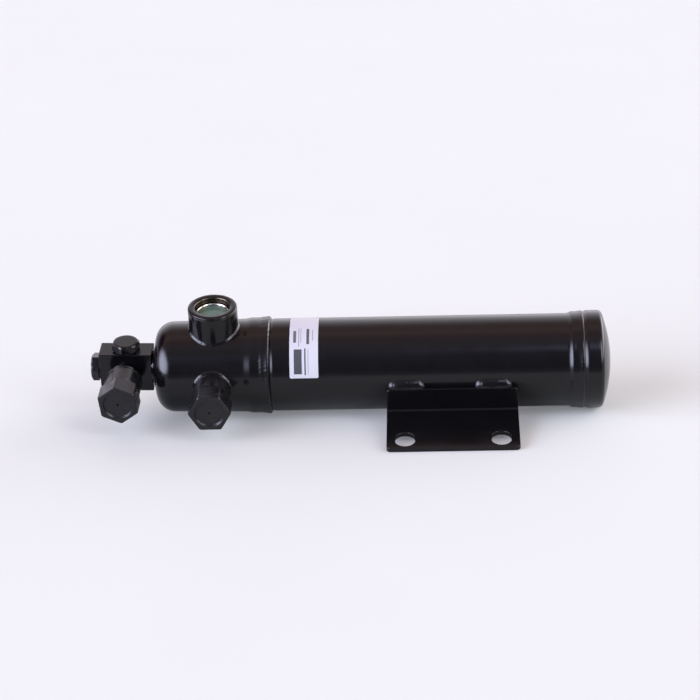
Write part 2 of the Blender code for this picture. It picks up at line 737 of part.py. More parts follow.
def build_outlet(steel, rubber, plastic, parent):
    """Outlet fitting screwed into the block's front face, with O-ring and cap."""
    frame = block_frame() @ facing_forward(BLOCK_MID_X)
    foot_start = BLOCK_DEPTH / 2 - SOCKET_DEPTH + GAP
    flange_end = OUTLET_CAP_SEAT_P - GAP
    flange_start = flange_end - OUTLET_FLANGE
    shoulder = flange_end + CAP_MOUTH_DEPTH + OUTLET_SHOULDER
    foot = [
        (foot_start, FITTING_BORE_RADIUS - OUTLET_STEP),
        (foot_start, NECK_RADIUS),
        (flange_start, NECK_RADIUS),
        (flange_start, OUTLET_FLANGE_RADIUS),
        (flange_end, OUTLET_FLANGE_RADIUS),
    ]
    outline = foot + nose_outline(flange_end, OUTLET_NOSE_P)[1:]
    outline.append((shoulder, FITTING_BORE_RADIUS))
    outline.append((shoulder - OUTLET_STEP, FITTING_BORE_RADIUS - OUTLET_STEP))
    add_piece("outlet_fitting", revolve(outline, frame, ROUND_MEDIUM), steel, parent, 30.0)
    add_piece("outlet_oring", oring_shape(OUTLET_NOSE_P, frame), rubber, parent)
    seat = block_frame() @ facing_forward(BLOCK_MID_X, OUTLET_CAP_SEAT_P)
    build_protective_cap("outlet_cap", seat, OUTLET_CAP_TURN, plastic, parent)


# Manifold block

def build_manifold_block(steel, parent):
    """Rectangular block with a long duct and sockets for neck, plugs and fitting."""
    shape = bmesh.new()
    size = Matrix.Diagonal((BLOCK_LENGTH, BLOCK_DEPTH, BLOCK_HEIGHT, 1.0))
    bmesh.ops.create_cube(shape, size=1.0, matrix=Matrix.Translation((BLOCK_MID_X, 0.0, 0.0)) @ size)
    bmesh.ops.bevel(shape, geom=shape.edges[:], offset=BLOCK_EDGE, segments=2, affect="EDGES", profile=0.5)
    shape.transform(block_frame())
    block = add_piece("manifold_block", shape, steel, parent, 40.0)

    half_depth = BLOCK_DEPTH / 2
    half_height = BLOCK_HEIGHT / 2
    plug_hole = PLUG_SHANK_RADIUS + GAP
    plug_depth = PLUG_SHANK_LENGTH + SOCKET_CLEARANCE
    beyond = CUTTER_REACH
    neck_end = BLOCK_RIGHT_X - SOCKET_DEPTH
    plug_end = BLOCK_LEFT_X + plug_depth
    along = [
        (BLOCK_LEFT_X - beyond, 0.0),
        (BLOCK_LEFT_X - beyond, plug_hole),
        (plug_end, plug_hole),
        (plug_end, DUCT_RADIUS),
        (neck_end, DUCT_RADIUS),
        (neck_end, NECK_RADIUS + GAP),
        (BLOCK_RIGHT_X + beyond, NECK_RADIUS + GAP),
        (BLOCK_RIGHT_X + beyond, 0.0),
    ]
    upward = [
        (0.0, 0.0),
        (0.0, PLUG_DUCT_RADIUS),
        (half_height - plug_depth, PLUG_DUCT_RADIUS),
        (half_height - plug_depth, plug_hole),
        (half_height + beyond, plug_hole),
        (half_height + beyond, 0.0),
    ]
    forward = [
        (0.0, 0.0),
        (0.0, OUTLET_DUCT_RADIUS),
        (half_depth - SOCKET_DEPTH, OUTLET_DUCT_RADIUS),
        (half_depth - SOCKET_DEPTH, NECK_RADIUS + GAP),
        (half_depth + beyond, NECK_RADIUS + GAP),
        (half_depth + beyond, 0.0),
    ]
    ducts = (
        ("long_duct", along, along_x(), ROUND_SMALL),
        ("plug_duct", upward, facing_up(BLOCK_MID_X), ROUND_SMALL + 2),
        ("outlet_duct", forward, facing_forward(BLOCK_MID_X), ROUND_SMALL + 4),
    )
    for name, outline, frame, steps in ducts:
        duct = revolve(outline, block_frame() @ frame, steps)
        combine(block, add_cutter(name, duct, parent), "DIFFERENCE")
    return block


def build_neck(steel, parent):
    """Spigot tube between block and head, and the bead round it."""
    start = BLOCK_RIGHT_X - SOCKET_DEPTH + GAP
    end = HEAD_APEX_X + HEAD_WALL + NECK_INSIDE
    tube = sleeve(start, end, NECK_RADIUS, PICKUP_RADIUS + 2 * GAP)
    add_piece("outlet_neck", revolve(tube, block_frame(), ROUND_MEDIUM), steel, parent)

    left = BLOCK_RIGHT_X - NECK_BEAD_LEFT
    right = HEAD_APEX_X + NECK_BEAD_RIGHT
    crest = (left + right) / 2
    ring = [
        (left, NECK_RADIUS + GAP),
        (left, NECK_BEAD_EDGE),
        (crest, NECK_BEAD_RADIUS),
        (right, NECK_BEAD_EDGE),
        (right, NECK_RADIUS + GAP),
    ]
    weld = add_piece("neck_weld", revolve(ring, block_frame(), ROUND_MEDIUM), steel, parent)
    combine(weld, build_block_seat(parent), "DIFFERENCE")
    combine(weld, build_crown_seat(parent), "DIFFERENCE")


def build_block_seat(parent):
    """The block with the seating gap, as a solid that undercuts the bead."""
    shape = bmesh.new()
    size = Matrix.Diagonal((BLOCK_LENGTH + 2 * GAP, BLOCK_DEPTH + 2 * GAP, BLOCK_HEIGHT, 1.0))
    middle = block_frame() @ Matrix.Translation((BLOCK_MID_X, 0.0, 0.0))
    bmesh.ops.create_cube(shape, size=1.0, matrix=middle @ size)
    return add_cutter("block_seat", shape, parent)


def build_crown_seat(parent):
    """The head's crown with the seating gap, as a solid that undercuts the bead."""
    radius = CROWN_RADIUS + GAP
    half = math.degrees(math.asin(2 * NECK_BEAD_RADIUS / radius))
    outline = arc((HEAD_APEX_X + CROWN_RADIUS, 0.0), radius, 180, 180 - half, 6)
    outline.append((HEAD_APEX_X + NECK_BEAD_RADIUS, outline[-1][1]))
    outline.append((HEAD_APEX_X + NECK_BEAD_RADIUS, 0.0))
    return add_cutter("crown_seat", revolve(outline, along_x(), ROUND_LARGE), parent)


def build_plug(name, frame, turn, steel, seal, parent):
    """Hexagonal plug with a chamfered head, and the washer under it."""
    seat = WASHER_THICKNESS + 2 * GAP
    top = seat + PLUG_HEAD
    corner = PLUG_FLATS / 2 / math.cos(math.pi / 6) + GAP
    face = PLUG_FLATS / 2 - GAP
    outline = [
        (-PLUG_SHANK_LENGTH, 0.0),
        (-PLUG_SHANK_LENGTH, PLUG_SHANK_RADIUS - PLUG_SHANK_CHAMFER),
        (-PLUG_SHANK_LENGTH + PLUG_SHANK_CHAMFER, PLUG_SHANK_RADIUS),
        (seat, PLUG_SHANK_RADIUS),
        (seat, corner),
        (top - PLUG_CHAMFER, corner),
        (top, face),
        (top + PLUG_CROWN, face - PLUG_CROWN_RUN),
        (top + PLUG_CROWN, 0.0),
    ]
    plug = add_piece(name, revolve(outline, frame, ROUND_MEDIUM), steel, parent, 20.0)
    hexagon = prism(6, PLUG_FLATS, -PLUG_SHANK_LENGTH - CUTTER_REACH, top + CUTTER_REACH, frame, turn)
    combine(plug, add_cutter(name + "_hexagon", hexagon, parent), "INTERSECT")
    washer = sleeve(GAP, GAP + WASHER_THICKNESS, WASHER_RADIUS, PLUG_SHANK_RADIUS + GAP)
    add_piece(name + "_seal", revolve(washer, frame, ROUND_SMALL), seal, parent)


# Mounting bracket

def fold_outline():
    """Section of the folded sheet in the (forward, up) plane."""
    inner = FOLD_RADIUS
    outer = FOLD_RADIUS + SHEET
    centre = (LEG_P + outer, PLATE_BOTTOM_Z + outer)
    front = [(LEG_P + SHEET, LEG_TOP_Z)]
    front += arc(centre, inner, 180, 270, 3)
    front.append((PLATE_REACH, PLATE_TOP_Z))
    back = [(PLATE_REACH, PLATE_BOTTOM_Z)]
    back += arc(centre, outer, 270, 180, 4)
    back.append((LEG_P, LEG_TOP_Z))
    return front + back


def build_bracket(steel, parent):
    """Folded angle: the upright leg lies against the tube and the plate carries two slots."""
    shape = bmesh.new()
    section = [shape.verts.new((BRACKET_LEFT_X, -p, z)) for p, z in fold_outline()]
    face = shape.faces.new(section)
    extruded = bmesh.ops.extrude_face_region(shape, geom=[face])["geom"]
    moved = [item for item in extruded if isinstance(item, bmesh.types.BMVert)]
    bmesh.ops.translate(shape, verts=moved, vec=(BRACKET_WIDTH, 0.0, 0.0))
    shape.edges.ensure_lookup_table()
    front_corners = [
        edge for edge in shape.edges
        if all(abs(corner.co.y + PLATE_REACH) < MERGE for corner in edge.verts)
        and abs(edge.verts[0].co.x - edge.verts[1].co.x) < MERGE
    ]
    bmesh.ops.bevel(shape, geom=front_corners, offset=PLATE_CORNER, segments=5, affect="EDGES", profile=0.5)
    bracket = add_piece("mounting_bracket", shape, steel, parent, 30.0)
    soften = bracket.modifiers.new("punched_edge", "BEVEL")
    soften.width = PUNCHED_EDGE
    soften.segments = 1
    soften.limit_method = "ANGLE"
    soften.angle_limit = math.radians(60)

    straight = SLOT_LENGTH - SLOT_WIDTH
    radius = SLOT_WIDTH / 2
    near_p = PLATE_REACH - SLOT_EDGE - radius
    middle_x = BRACKET_LEFT_X + BRACKET_WIDTH / 2
    cutters = bmesh.new()
    for side in (-1, 1):
        centre_x = middle_x + side * SLOT_SPACING / 2
        rim = []
        for centre_p, first in ((near_p, 0.0), (near_p - straight, math.pi)):
            for index in range(ROUND_SMALL + 1):
                angle = first + math.pi * index / ROUND_SMALL
                rim.append((centre_x + radius * math.cos(angle), centre_p + radius * math.sin(angle)))
        loop = [cutters.verts.new((x, -p, PLATE_BOTTOM_Z - SHEET)) for x, p in rim]
        lid = cutters.faces.new(loop)
        extruded = bmesh.ops.extrude_face_region(cutters, geom=[lid])["geom"]
        moved = [item for item in extruded if isinstance(item, bmesh.types.BMVert)]
        bmesh.ops.translate(cutters, verts=moved, vec=(0.0, 0.0, 3 * SHEET))
    combine(bracket, add_cutter("slot_cutters", cutters, parent), "DIFFERENCE")
    return bracket


def build_stitch_weld(name, start_x, steel, parent):
    """Short fillet between the leg's top edge and the tube, with rounded ends."""
    shape = bmesh.new()
    rings = []
    outer_p = LEG_P + SHEET
    base_z = LEG_TOP_Z + GAP
    wall = TUBE_RADIUS + GAP
    for index in range(STITCH_STATIONS + 1):
        share = index / STITCH_STATIONS
        x = start_x + STITCH_LENGTH * share
        size = max(STITCH_END, math.sqrt(max(0.0, 1 - (2 * share - 1) ** 4)))
        top_z = base_z + STITCH_HEIGHT * size
        crown = STITCH_CROWN * size
        lip = STITCH_LIP * size
        low = (math.sqrt(wall ** 2 - base_z ** 2), base_z)
        high = (math.sqrt(wall ** 2 - top_z ** 2), top_z)
        mid = (math.sqrt(wall ** 2 - (top_z / 2) ** 2), top_z / 2)
        toe = (low[0] + (outer_p - low[0] - STITCH_LIP) * size, base_z)
        lower = (toe[0], toe[1] + STITCH_TOE * size)
        middle = ((toe[0] + high[0]) / 2 + crown, (toe[1] + high[1]) / 2 + crown)
        upper = (high[0] + lip, top_z - lip / 2)
        ring = [shape.verts.new((x, -p, z)) for p, z in (low, toe, lower, middle, upper, high, mid)]
        rings.append(ring)
    count = len(rings[0])
    for near, far in zip(rings[:-1], rings[1:]):
        for k in range(count):
            nxt = (k + 1) % count
            shape.faces.new((near[k], near[nxt], far[nxt], far[k]))
    shape.faces.new(rings[0])
    shape.faces.new(rings[-1][::-1])
    return add_piece(name, shape, steel, parent, 50.0)


def build_bracket_welds(steel, parent):
    """The two stitches at the ends of the leg."""
    left = BRACKET_LEFT_X + STITCH_INSET_LEFT
    right = BRACKET_LEFT_X + BRACKET_WIDTH - STITCH_INSET_RIGHT - STITCH_LENGTH
    build_stitch_weld("bracket_weld_left", left, steel, parent)
    build_stitch_weld("bracket_weld_right", right, steel, parent)


# Sticker

def build_label(paper, parent):
    """Sticker wrapped over the tube's front and top."""
    shape = bmesh.new()
    inner = TUBE_RADIUS + GAP
    strips = 24
    rows = []
    for index in range(strips + 1):
        angle = LABEL_START + (LABEL_END - LABEL_START) * index / strips
        row = []
        for radius in (inner, inner + LABEL_THICKNESS):
            for x in (LABEL_LEFT_X, LABEL_LEFT_X + LABEL_WIDTH):
                row.append(shape.verts.new((x, -radius * math.cos(angle), radius * math.sin(angle))))
        rows.append(row)
    for low, high in zip(rows[:-1], rows[1:]):
        shape.faces.new((low[0], low[1], high[1], high[0]))
        shape.faces.new((low[2], high[2], high[3], low[3]))
        shape.faces.new((low[0], high[0], high[2], low[2]))
        shape.faces.new((low[1], low[3], high[3], high[1]))
    shape.faces.new((rows[0][0], rows[0][2], rows[0][3], rows[0][1]))
    shape.faces.new((rows[-1][0], rows[-1][1], rows[-1][3], rows[-1][2]))
    return add_piece("label", shape, paper, parent)


# Inside of the vessel

def build_inside(steel, felt, beads, mesh_metal, parent):
    """Charge of desiccant between pads and perforated plates, its spring, and the pickup tube."""
    bore = PICKUP_RADIUS + GAP
    plate_r = SHELL_INNER - GAP
    start = TUBE_START_X + SHOULDER_SHIFT + GAP

    def perforated_plate(name, x):
        disc = sleeve(x, x + PLATE_THICKNESS, plate_r, bore)
        plate = add_piece(name, revolve(disc, along_x(), ROUND_MEDIUM), steel, parent)
        places = [
            (
                PLATE_HOLE_CIRCLE * math.cos(2 * math.pi * k / PLATE_HOLES),
                PLATE_HOLE_CIRCLE * math.sin(2 * math.pi * k / PLATE_HOLES),
            )
            for k in range(PLATE_HOLES)
        ]
        beyond = x + PLATE_THICKNESS + CUTTER_REACH
        holes = cylinders(places, PLATE_HOLE_RADIUS, x - CUTTER_REACH, beyond, 8)
        combine(plate, add_cutter(name + "_holes", holes, parent), "DIFFERENCE")
        return x + PLATE_THICKNESS + GAP

    def disc_fill(name, x, length, material):
        fill = sleeve(x, x + length, plate_r, bore)
        add_piece(name, revolve(fill, along_x(), ROUND_MEDIUM), material, parent)
        return x + length + GAP

    x = perforated_plate("inlet_plate", start)
    x = disc_fill("inlet_pad", x, PAD_THICKNESS, felt)
    x = disc_fill("desiccant_charge", x, CHARGE_LENGTH, beads)
    x = disc_fill("outlet_pad", x, PAD_THICKNESS, felt)
    x = perforated_plate("outlet_plate", x)

    pickup_start = BLOCK_RIGHT_X - SOCKET_DEPTH + PICKUP_SETBACK
    tube = sleeve(pickup_start, PICKUP_END_X, PICKUP_RADIUS, PICKUP_RADIUS - PICKUP_WALL)
    add_piece("pickup_tube", revolve(tube, along_x(), ROUND_SMALL), steel, parent)

    cup_start = PICKUP_END_X - STRAINER_OVERLAP
    cup_end = cup_start + STRAINER_LENGTH
    cup = [
        (cup_start, bore),
        (cup_start, STRAINER_RADIUS),
        (cup_end, STRAINER_RADIUS),
        (cup_end, 0.0),
        (cup_end - STRAINER_WALL, 0.0),
        (cup_end - STRAINER_WALL, STRAINER_RADIUS - STRAINER_WALL),
        (cup_start + STRAINER_WALL, STRAINER_RADIUS - STRAINER_WALL),
        (cup_start + STRAINER_WALL, bore),
    ]
    add_piece("strainer", revolve(cup, along_x(), ROUND_SMALL), mesh_metal, parent)

    build_spring(x, steel, parent)


def build_spring(start, steel, parent):
    """Compression spring between the outlet plate and the end cap's dish, its end turns closed."""
    inner_crown = CAP_CROWN_RADIUS - CAP_WALL
    dish = CAP_DISH_X + math.sqrt(inner_crown ** 2 - (SPRING_RADIUS + SPRING_WIRE) ** 2)
    first = start + SPRING_WIRE + GAP
    last = dish - SPRING_WIRE - GAP
    closed = SPRING_CLOSED_PITCH
    total = SPRING_STEPS * SPRING_TURNS
    shape = bmesh.new()
    rings = []
    for index in range(total + 1):
        turn = 2 * math.pi * index / SPRING_STEPS
        turns = index / SPRING_STEPS
        ends = min(turns, 1.0) + max(0.0, turns - SPRING_TURNS + 1)
        middle = turns - ends
        x = first + closed * ends + (last - first - 2 * closed) * middle / (SPRING_TURNS - 2)
        ring = []
        for side in range(SPRING_SIDES):
            angle = 2 * math.pi * side / SPRING_SIDES
            radius = SPRING_RADIUS + SPRING_WIRE * math.cos(angle)
            place = (x + SPRING_WIRE * math.sin(angle), radius * math.cos(turn), radius * math.sin(turn))
            ring.append(shape.verts.new(place))
        rings.append(ring)
    for near, far in zip(rings[:-1], rings[1:]):
        for k in range(SPRING_SIDES):
            nxt = (k + 1) % SPRING_SIDES
            shape.faces.new((near[k], near[nxt], far[nxt], far[k]))
    shape.faces.new(rings[0])
    shape.faces.new(rings[-1][::-1])
    return add_piece("charge_spring", shape, steel, parent, 80.0)


# Rest pose

def make_rest_pose():
    """Empty that rolls the vessel forward onto the bracket's front edge and centres its footprint."""
    reach = math.hypot(PLATE_REACH, PLATE_BOTTOM_Z)
    drop = math.atan2(-PLATE_BOTTOM_Z, PLATE_REACH)
    roll = math.asin(CAP_BEAD_RADIUS / reach) - drop
    front_y = -PLATE_REACH * math.cos(roll) - PLATE_TOP_Z * math.sin(roll)
    right_x = CAP_APEX_X
    plug_top = BLOCK_LENGTH + WASHER_THICKNESS + 2 * GAP + PLUG_HEAD + PLUG_CROWN
    plug_face = PLUG_FLATS / 2 - GAP - PLUG_CROWN_RUN
    left_x = BLOCK_RIGHT_X - plug_top * math.cos(BLOCK_YAW) - plug_face * abs(math.sin(BLOCK_YAW))
    rest_pose = bpy.data.objects.new("rest_pose", None)
    bpy.context.collection.objects.link(rest_pose)
    rest_pose.rotation_euler = (roll, 0.0, 0.0)
    rest_pose.location = (-(left_x + right_x) / 2, -(front_y + CAP_BEAD_RADIUS) / 2, CAP_BEAD_RADIUS)
    return rest_pose


def main():
    clear_scene()
    rest_pose = make_rest_pose()
    paint = make_material("black_gloss_paint", (0.010, 0.010, 0.011), 0.16)
    plastic = make_material("black_cap_plastic", (0.018, 0.018, 0.019), 0.38)
    bare = make_material("bare_steel", (0.50, 0.50, 0.49), 0.35, 1.0)
    plated = make_material("plated_ring", (0.78, 0.77, 0.74), 0.22, 1.0)
    rubber = make_material("black_rubber", (0.015, 0.015, 0.015), 0.6)
    glass = make_material("sight_glass", (0.55, 0.68, 0.62), 0.05)
    indicator = make_material("indicator_green", (0.30, 0.42, 0.34), 0.5)
    paper = make_material("white_label", (0.80, 0.80, 0.84), 0.35)
    felt = make_material("felt_pad", (0.75, 0.72, 0.65), 0.95)
    beads = make_material("desiccant_beads", (0.72, 0.66, 0.55), 0.9)
    screen = make_material("strainer_screen", (0.55, 0.52, 0.45), 0.5, 1.0)
    seal = make_material("seal_washer", (0.02, 0.02, 0.02), 0.4)

    build_shell_tube(paint, rest_pose)
    build_inlet_head(paint, rest_pose)
    build_end_cap(paint, rest_pose)
    build_head_weld(paint, rest_pose)
    build_cap_weld(paint, rest_pose)
    build_sight_glass(paint, plated, rubber, glass, indicator, rest_pose)
    build_port(bare, rubber, plastic, rest_pose)
    build_manifold_block(paint, rest_pose)
    build_neck(paint, rest_pose)
    half_height = BLOCK_HEIGHT / 2
    top_frame = block_frame() @ facing_up(BLOCK_MID_X, half_height)
    end_frame = block_frame() @ facing_left(BLOCK_LEFT_X)
    build_plug("top_plug", top_frame, TOP_PLUG_TURN, paint, seal, rest_pose)
    build_plug("end_plug", end_frame, END_PLUG_TURN, paint, seal, rest_pose)
    build_outlet(bare, rubber, plastic, rest_pose)
    build_bracket(paint, rest_pose)
    build_bracket_welds(paint, rest_pose)
    build_label(paper, rest_pose)
    build_inside(bare, felt, beads, screen, rest_pose)


main()
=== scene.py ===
# %% [markdown]
# # A receiver drier, painted gloss black
#
# A receiver drier is a small steel pressure vessel: a drawn head, a tube and a dished cap are welded
# together, fittings are welded on, and the whole thing is sprayed black in one go. This notebook dresses
# the solid model of one in its real surfaces. Black gloss has almost no colour of its own, so what the
# eye reads is the reflection on it: every edge therefore gets its true small radius.

import bmesh
import bpy
import json
import math
from mathutils import Matrix, Vector


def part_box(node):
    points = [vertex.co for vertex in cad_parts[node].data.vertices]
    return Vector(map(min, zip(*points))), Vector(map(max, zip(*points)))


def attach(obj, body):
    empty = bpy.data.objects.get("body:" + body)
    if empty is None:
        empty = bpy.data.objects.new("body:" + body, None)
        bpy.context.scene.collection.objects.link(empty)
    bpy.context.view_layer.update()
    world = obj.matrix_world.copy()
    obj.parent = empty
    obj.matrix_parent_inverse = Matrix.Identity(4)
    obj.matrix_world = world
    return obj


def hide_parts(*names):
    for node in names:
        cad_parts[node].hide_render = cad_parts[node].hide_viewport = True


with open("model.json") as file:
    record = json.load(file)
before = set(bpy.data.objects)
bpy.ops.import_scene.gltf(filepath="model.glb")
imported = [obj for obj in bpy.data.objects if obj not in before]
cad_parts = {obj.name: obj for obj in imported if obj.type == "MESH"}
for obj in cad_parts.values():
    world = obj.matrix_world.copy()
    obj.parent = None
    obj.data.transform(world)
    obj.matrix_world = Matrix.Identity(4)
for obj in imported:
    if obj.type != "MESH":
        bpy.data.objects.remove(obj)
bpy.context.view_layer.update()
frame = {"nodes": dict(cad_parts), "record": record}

# %% [markdown]
# ## Sizes and the pose
#
# All sizes are in millimetres in the drier's own frame: X runs along the vessel, the ports look forward
# and the sight glass looks up. The drier lies rolled forward onto its bracket, and that roll is read
# from the bracket's face in the record, so the sizes below stay round numbers of the upright part.

# %% Sizes of the vessel
MM = 0.001
TINY = 1e-6
GAP = 0.3

TUBE_R = 38.1
BELL_R = 39.5
HEAD_R = 37.3
MOUTH_R = 38.4
SKIRT_R = 39.3
WALL = 2.2
TUBE_WALL = 2.0
CROWN_R = 150.0
KNUCKLE_R = 15.0
APEX_X = -162.0
JOGGLE_X = (-86.0, -80.6)
SWAGE_X = -78.2
SKIRT_END_X = -72.5
TUBE_X = (-64.5, 186.6)
CAP_SHOULDER_X = 191.3
CAP_RIM_X = 202.8
CAP_APEX_X = 213.59
CAP_R = 40.2
CAP_KNUCKLE_R = 4.5
DISH_R = 110.0

# %% Stations of the fittings
GLASS_X = -111.0
PORT_X = -112.0
PORT_SEAT_P = 38.5
PORT_NOSE_P = 65.6
OUTLET_SEAT_P = 24.8
OUTLET_NOSE_P = 51.9
BLOCK_X = (-206.7, -162.9)
BLOCK_MID_X = sum(BLOCK_X) / 2
BLOCK_DEPTH = 20.0
BLOCK_HEIGHT = 34.2
BLOCK_YAW = math.radians(-2.4)

# %% Pose of the drier
mount_axis = {mount["name"]: mount["axis"] for mount in frame["record"]["mounts"]}["bracket_seat"]
ROLL = math.atan2(mount_axis[1], -mount_axis[2])
weld_low, weld_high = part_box("cap_weld")
origin = (weld_low + weld_high) / 2
origin.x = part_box("end_cap")[1].x - CAP_APEX_X * MM
POSE = Matrix.Translation(origin) @ Matrix.Rotation(ROLL, 4, "X") @ Matrix.Scale(MM, 4)
print("roll %.2f degrees, axis at %s" % (math.degrees(ROLL), tuple(round(v, 4) for v in origin)))

# %% [markdown]
# ## Axes
#
# Nearly everything on a drier is turned: rings, bosses, plugs and caps are all a profile spun round a
# line. So each one is drawn round +X first and then laid along its own axis by one of these matrices.
# The block group is welded on slightly askew, so its axes share one more small turn about the neck.

# %% Axes of the turned pieces
VESSEL_AXIS = Matrix.Identity(4)


def forward(x, p=0.0):
    """Axis pointing out of the front at x, starting p in front of the vessel's axis."""
    return Matrix.Translation((x, -p, 0)) @ Matrix.Rotation(-math.pi / 2, 4, "Z")


def upward(x, z=0.0):
    """Axis pointing up at x, starting at the height z."""
    return Matrix.Translation((x, 0, z)) @ Matrix.Rotation(-math.pi / 2, 4, "Y")


def leftward(x):
    """Axis pointing along -X from x."""
    return Matrix.Translation((x, 0, 0)) @ Matrix.Rotation(math.pi, 4, "Z")


NECK = Matrix.Translation((BLOCK_X[1], 0, 0))
ASKEW = NECK @ Matrix.Rotation(BLOCK_YAW, 4, "Z") @ NECK.inverted()
print("block group turned by %.1f degrees about the neck" % math.degrees(BLOCK_YAW))

# %% [markdown]
# ## Colour and nodes
#
# Paint colours are known as screen values, so one function turns a hex value into the linear numbers
# that a shader adds up. One more adds a node and fills its sockets with values or with the outputs of
# other nodes. Most finishes here have one thing in common: a grain of a real size tints the surface,
# makes its gloss uneven and raises it a little. So one function works such a grain into any of them.


# %% Helpers for materials
def linear(code):
    """Linear RGBA of an sRGB hex colour."""
    parts = [int(code[i:i + 2], 16) / 255 for i in (1, 3, 5)]
    return [p / 12.92 if p <= 0.04045 else ((p + 0.055) / 1.055) ** 2.4 for p in parts] + [1.0]


def add_node(tree, kind, settings=None, inputs=None):
    """Add a node, set its properties, and fill its sockets with values or other nodes' outputs."""
    node = tree.nodes.new(kind)
    for key, value in (settings or {}).items():
        setattr(node, key, value)
    for key, value in (inputs or {}).items():
        if isinstance(value, bpy.types.NodeSocket):
            tree.links.new(value, node.inputs[key])
        else:
            node.inputs[key].default_value = value
    return node


def new_material(name, colour, roughness, sockets=None):
    """A material whose Principled shader has a plain even finish, ready for a grain."""
    material = bpy.data.materials.new(name)
    material.use_nodes = True
    shader = material.node_tree.nodes["Principled BSDF"]
    even = {"Base Color": linear(colour), "Roughness": roughness, **(sockets or {})}
    for key, value in even.items():
        shader.inputs[key].default_value = value
    material.diffuse_color = linear(colour)
    return material


def per_mm(size):
    """Scale of a pattern whose grain is about that many millimetres."""
    return 1.0 / (size * MM)


print("mid grey is", [round(v, 3) for v in linear("#808080")])


# %% A grain worked into a surface
def work_in(material, pattern, tones=None, gloss=None, relief=None):
    """Let a pattern mix two tones, turn a range of it into roughness, and raise the surface."""
    tree = material.node_tree
    surface = tree.nodes["Principled BSDF"].inputs
    if tones:
        low, high = (linear(tone) for tone in tones)
        tint = add_node(tree, "ShaderNodeMix", {"data_type": "RGBA"},
                        {"Factor": pattern, "A": low, "B": high})
        tree.links.new(tint.outputs["Result"], surface["Base Color"])
    if gloss:
        ends = dict(zip(("From Min", "From Max", "To Min", "To Max"), gloss))
        blur = add_node(tree, "ShaderNodeMapRange", None, {"Value": pattern, **ends})
        tree.links.new(blur.outputs["Result"], surface["Roughness"])
    if relief:
        strength, height = relief
        ends = {"Height": pattern, "Strength": strength, "Distance": height * MM}
        bump = add_node(tree, "ShaderNodeBump", None, ends)
        tree.links.new(bump.outputs["Normal"], surface["Normal"])


def grained(material, size, detail, stretch=None, distortion=0.0, **effects):
    """Work in a noise whose grain is about that many millimetres, and return it."""
    tree = material.node_tree
    place = add_node(tree, "ShaderNodeTexCoord").outputs["Object"]
    if stretch:
        squeeze = add_node(tree, "ShaderNodeMapping", None, {"Vector": place, "Scale": stretch})
        place = squeeze.outputs["Vector"]
    grain = {"Vector": place, "Scale": per_mm(size), "Detail": detail, "Distortion": distortion}
    noise = add_node(tree, "ShaderNodeTexNoise", None, grain).outputs["Fac"]
    work_in(material, noise, **effects)
    return noise


print("a 2.5 mm grain is a noise of scale %.0f" % per_mm(2.5))

# %% [markdown]
# ## Gloss black enamel
#
# The vessel is sprayed with a stoving enamel after it is welded. Such paint is a smooth dark film: it
# mirrors its surroundings a few per cent head-on and far more at a glancing angle, which is just what an
# index of refraction near 1.5 does by itself. Two noises keep it real: a fine one bends the surface by a
# few micrometres, the orange peel of a spray gun, and a broad one makes the gloss a little uneven.


# %% Enamel
def gloss_enamel():
    """Sprayed gloss enamel: the eye gets deep black with soft mirror streaks and a faint ripple."""
    material = new_material("enamel_black_sprayed", "#0B0B0C", 0.15, {"IOR": 1.47})
    # the peel is 2.5 mm across on the real part and is drawn at that size
    grained(material, 2.5, 1.5, relief=(0.5, 0.008))
    grained(material, 22.0, 3.0, tones=("#090909", "#0E0E10"), gloss=(0.3, 0.7, 0.12, 0.19))
    return material


ENAMEL = gloss_enamel()
print("paint", ENAMEL.name, len(ENAMEL.node_tree.nodes), "nodes")

# %% [markdown]
# ## Moulded black plastic
#
# The two protective caps are polyethylene from an injection mould. It is softer and waxier than the
# enamel: the reflection is blurred, the colour a shade lighter, and the spark-eroded mould leaves a fine
# grain. Handling rubs the grain bright in patches, so the roughness follows a slow noise.


# %% Cap plastic
def cap_plastic():
    """Injection moulded polyethylene: waxy dark grey with a fine grain and rubbed patches."""
    material = new_material("polyethylene_black_moulded", "#141416", 0.26, {"IOR": 1.51})
    grained(material, 0.7, 3.0, relief=(0.6, 0.04))
    grained(material, 7.0, 2.5, tones=("#0D0D0F", "#161618"), gloss=(0.35, 0.65, 0.20, 0.34))
    return material


PLASTIC = cap_plastic()
print("cap", PLASTIC.name)

# %% [markdown]
# ## Bare and plated metals
#
# Under the caps the fittings are bare turned steel. A bright plated ring holds the glass in a mouth
# that phosphating left dark. A lathe leaves fine rings round the axis, which blur a reflection one way.
# A wave texture on distance from the axis would need the axis, so the rings are drawn as noise squeezed
# along the axis instead: the Mapping node stretches the coordinates, and one function serves every
# metal here with its own grain.


# %% Metals
def worked_metal(name, colour, roughness, grain, stretch, height):
    """Metal with a stretched grain, such as lathe rings or drawing lines, and a few dull stains."""
    material = new_material(name, colour, roughness, {"Metallic": 1.0})
    gloss = (0.3, 0.7, roughness * 0.75, roughness * 1.3)
    grained(material, grain, 4.0, stretch, gloss=gloss, relief=(0.5, height))
    tree = material.node_tree
    stain = {"Value": grained(material, 11.0, 3.0), "From Min": 0.35, "From Max": 0.75,
             "To Min": 1.0, "To Max": 0.82}
    shade = add_node(tree, "ShaderNodeMapRange", None, stain)
    tint = add_node(tree, "ShaderNodeMix", {"data_type": "RGBA", "blend_type": "MULTIPLY"},
                    {"Factor": 1.0, "A": linear(colour), "B": shade.outputs["Result"]})
    tree.links.new(tint.outputs["Result"], tree.nodes["Principled BSDF"].inputs["Base Color"])
    return material


# bright, with rings round the fittings
TURNED_STEEL = worked_metal("steel_turned_zinc_plated", "#BDBBB6", 0.30, 0.5, (1.0, 6.0, 1.0), 0.02)
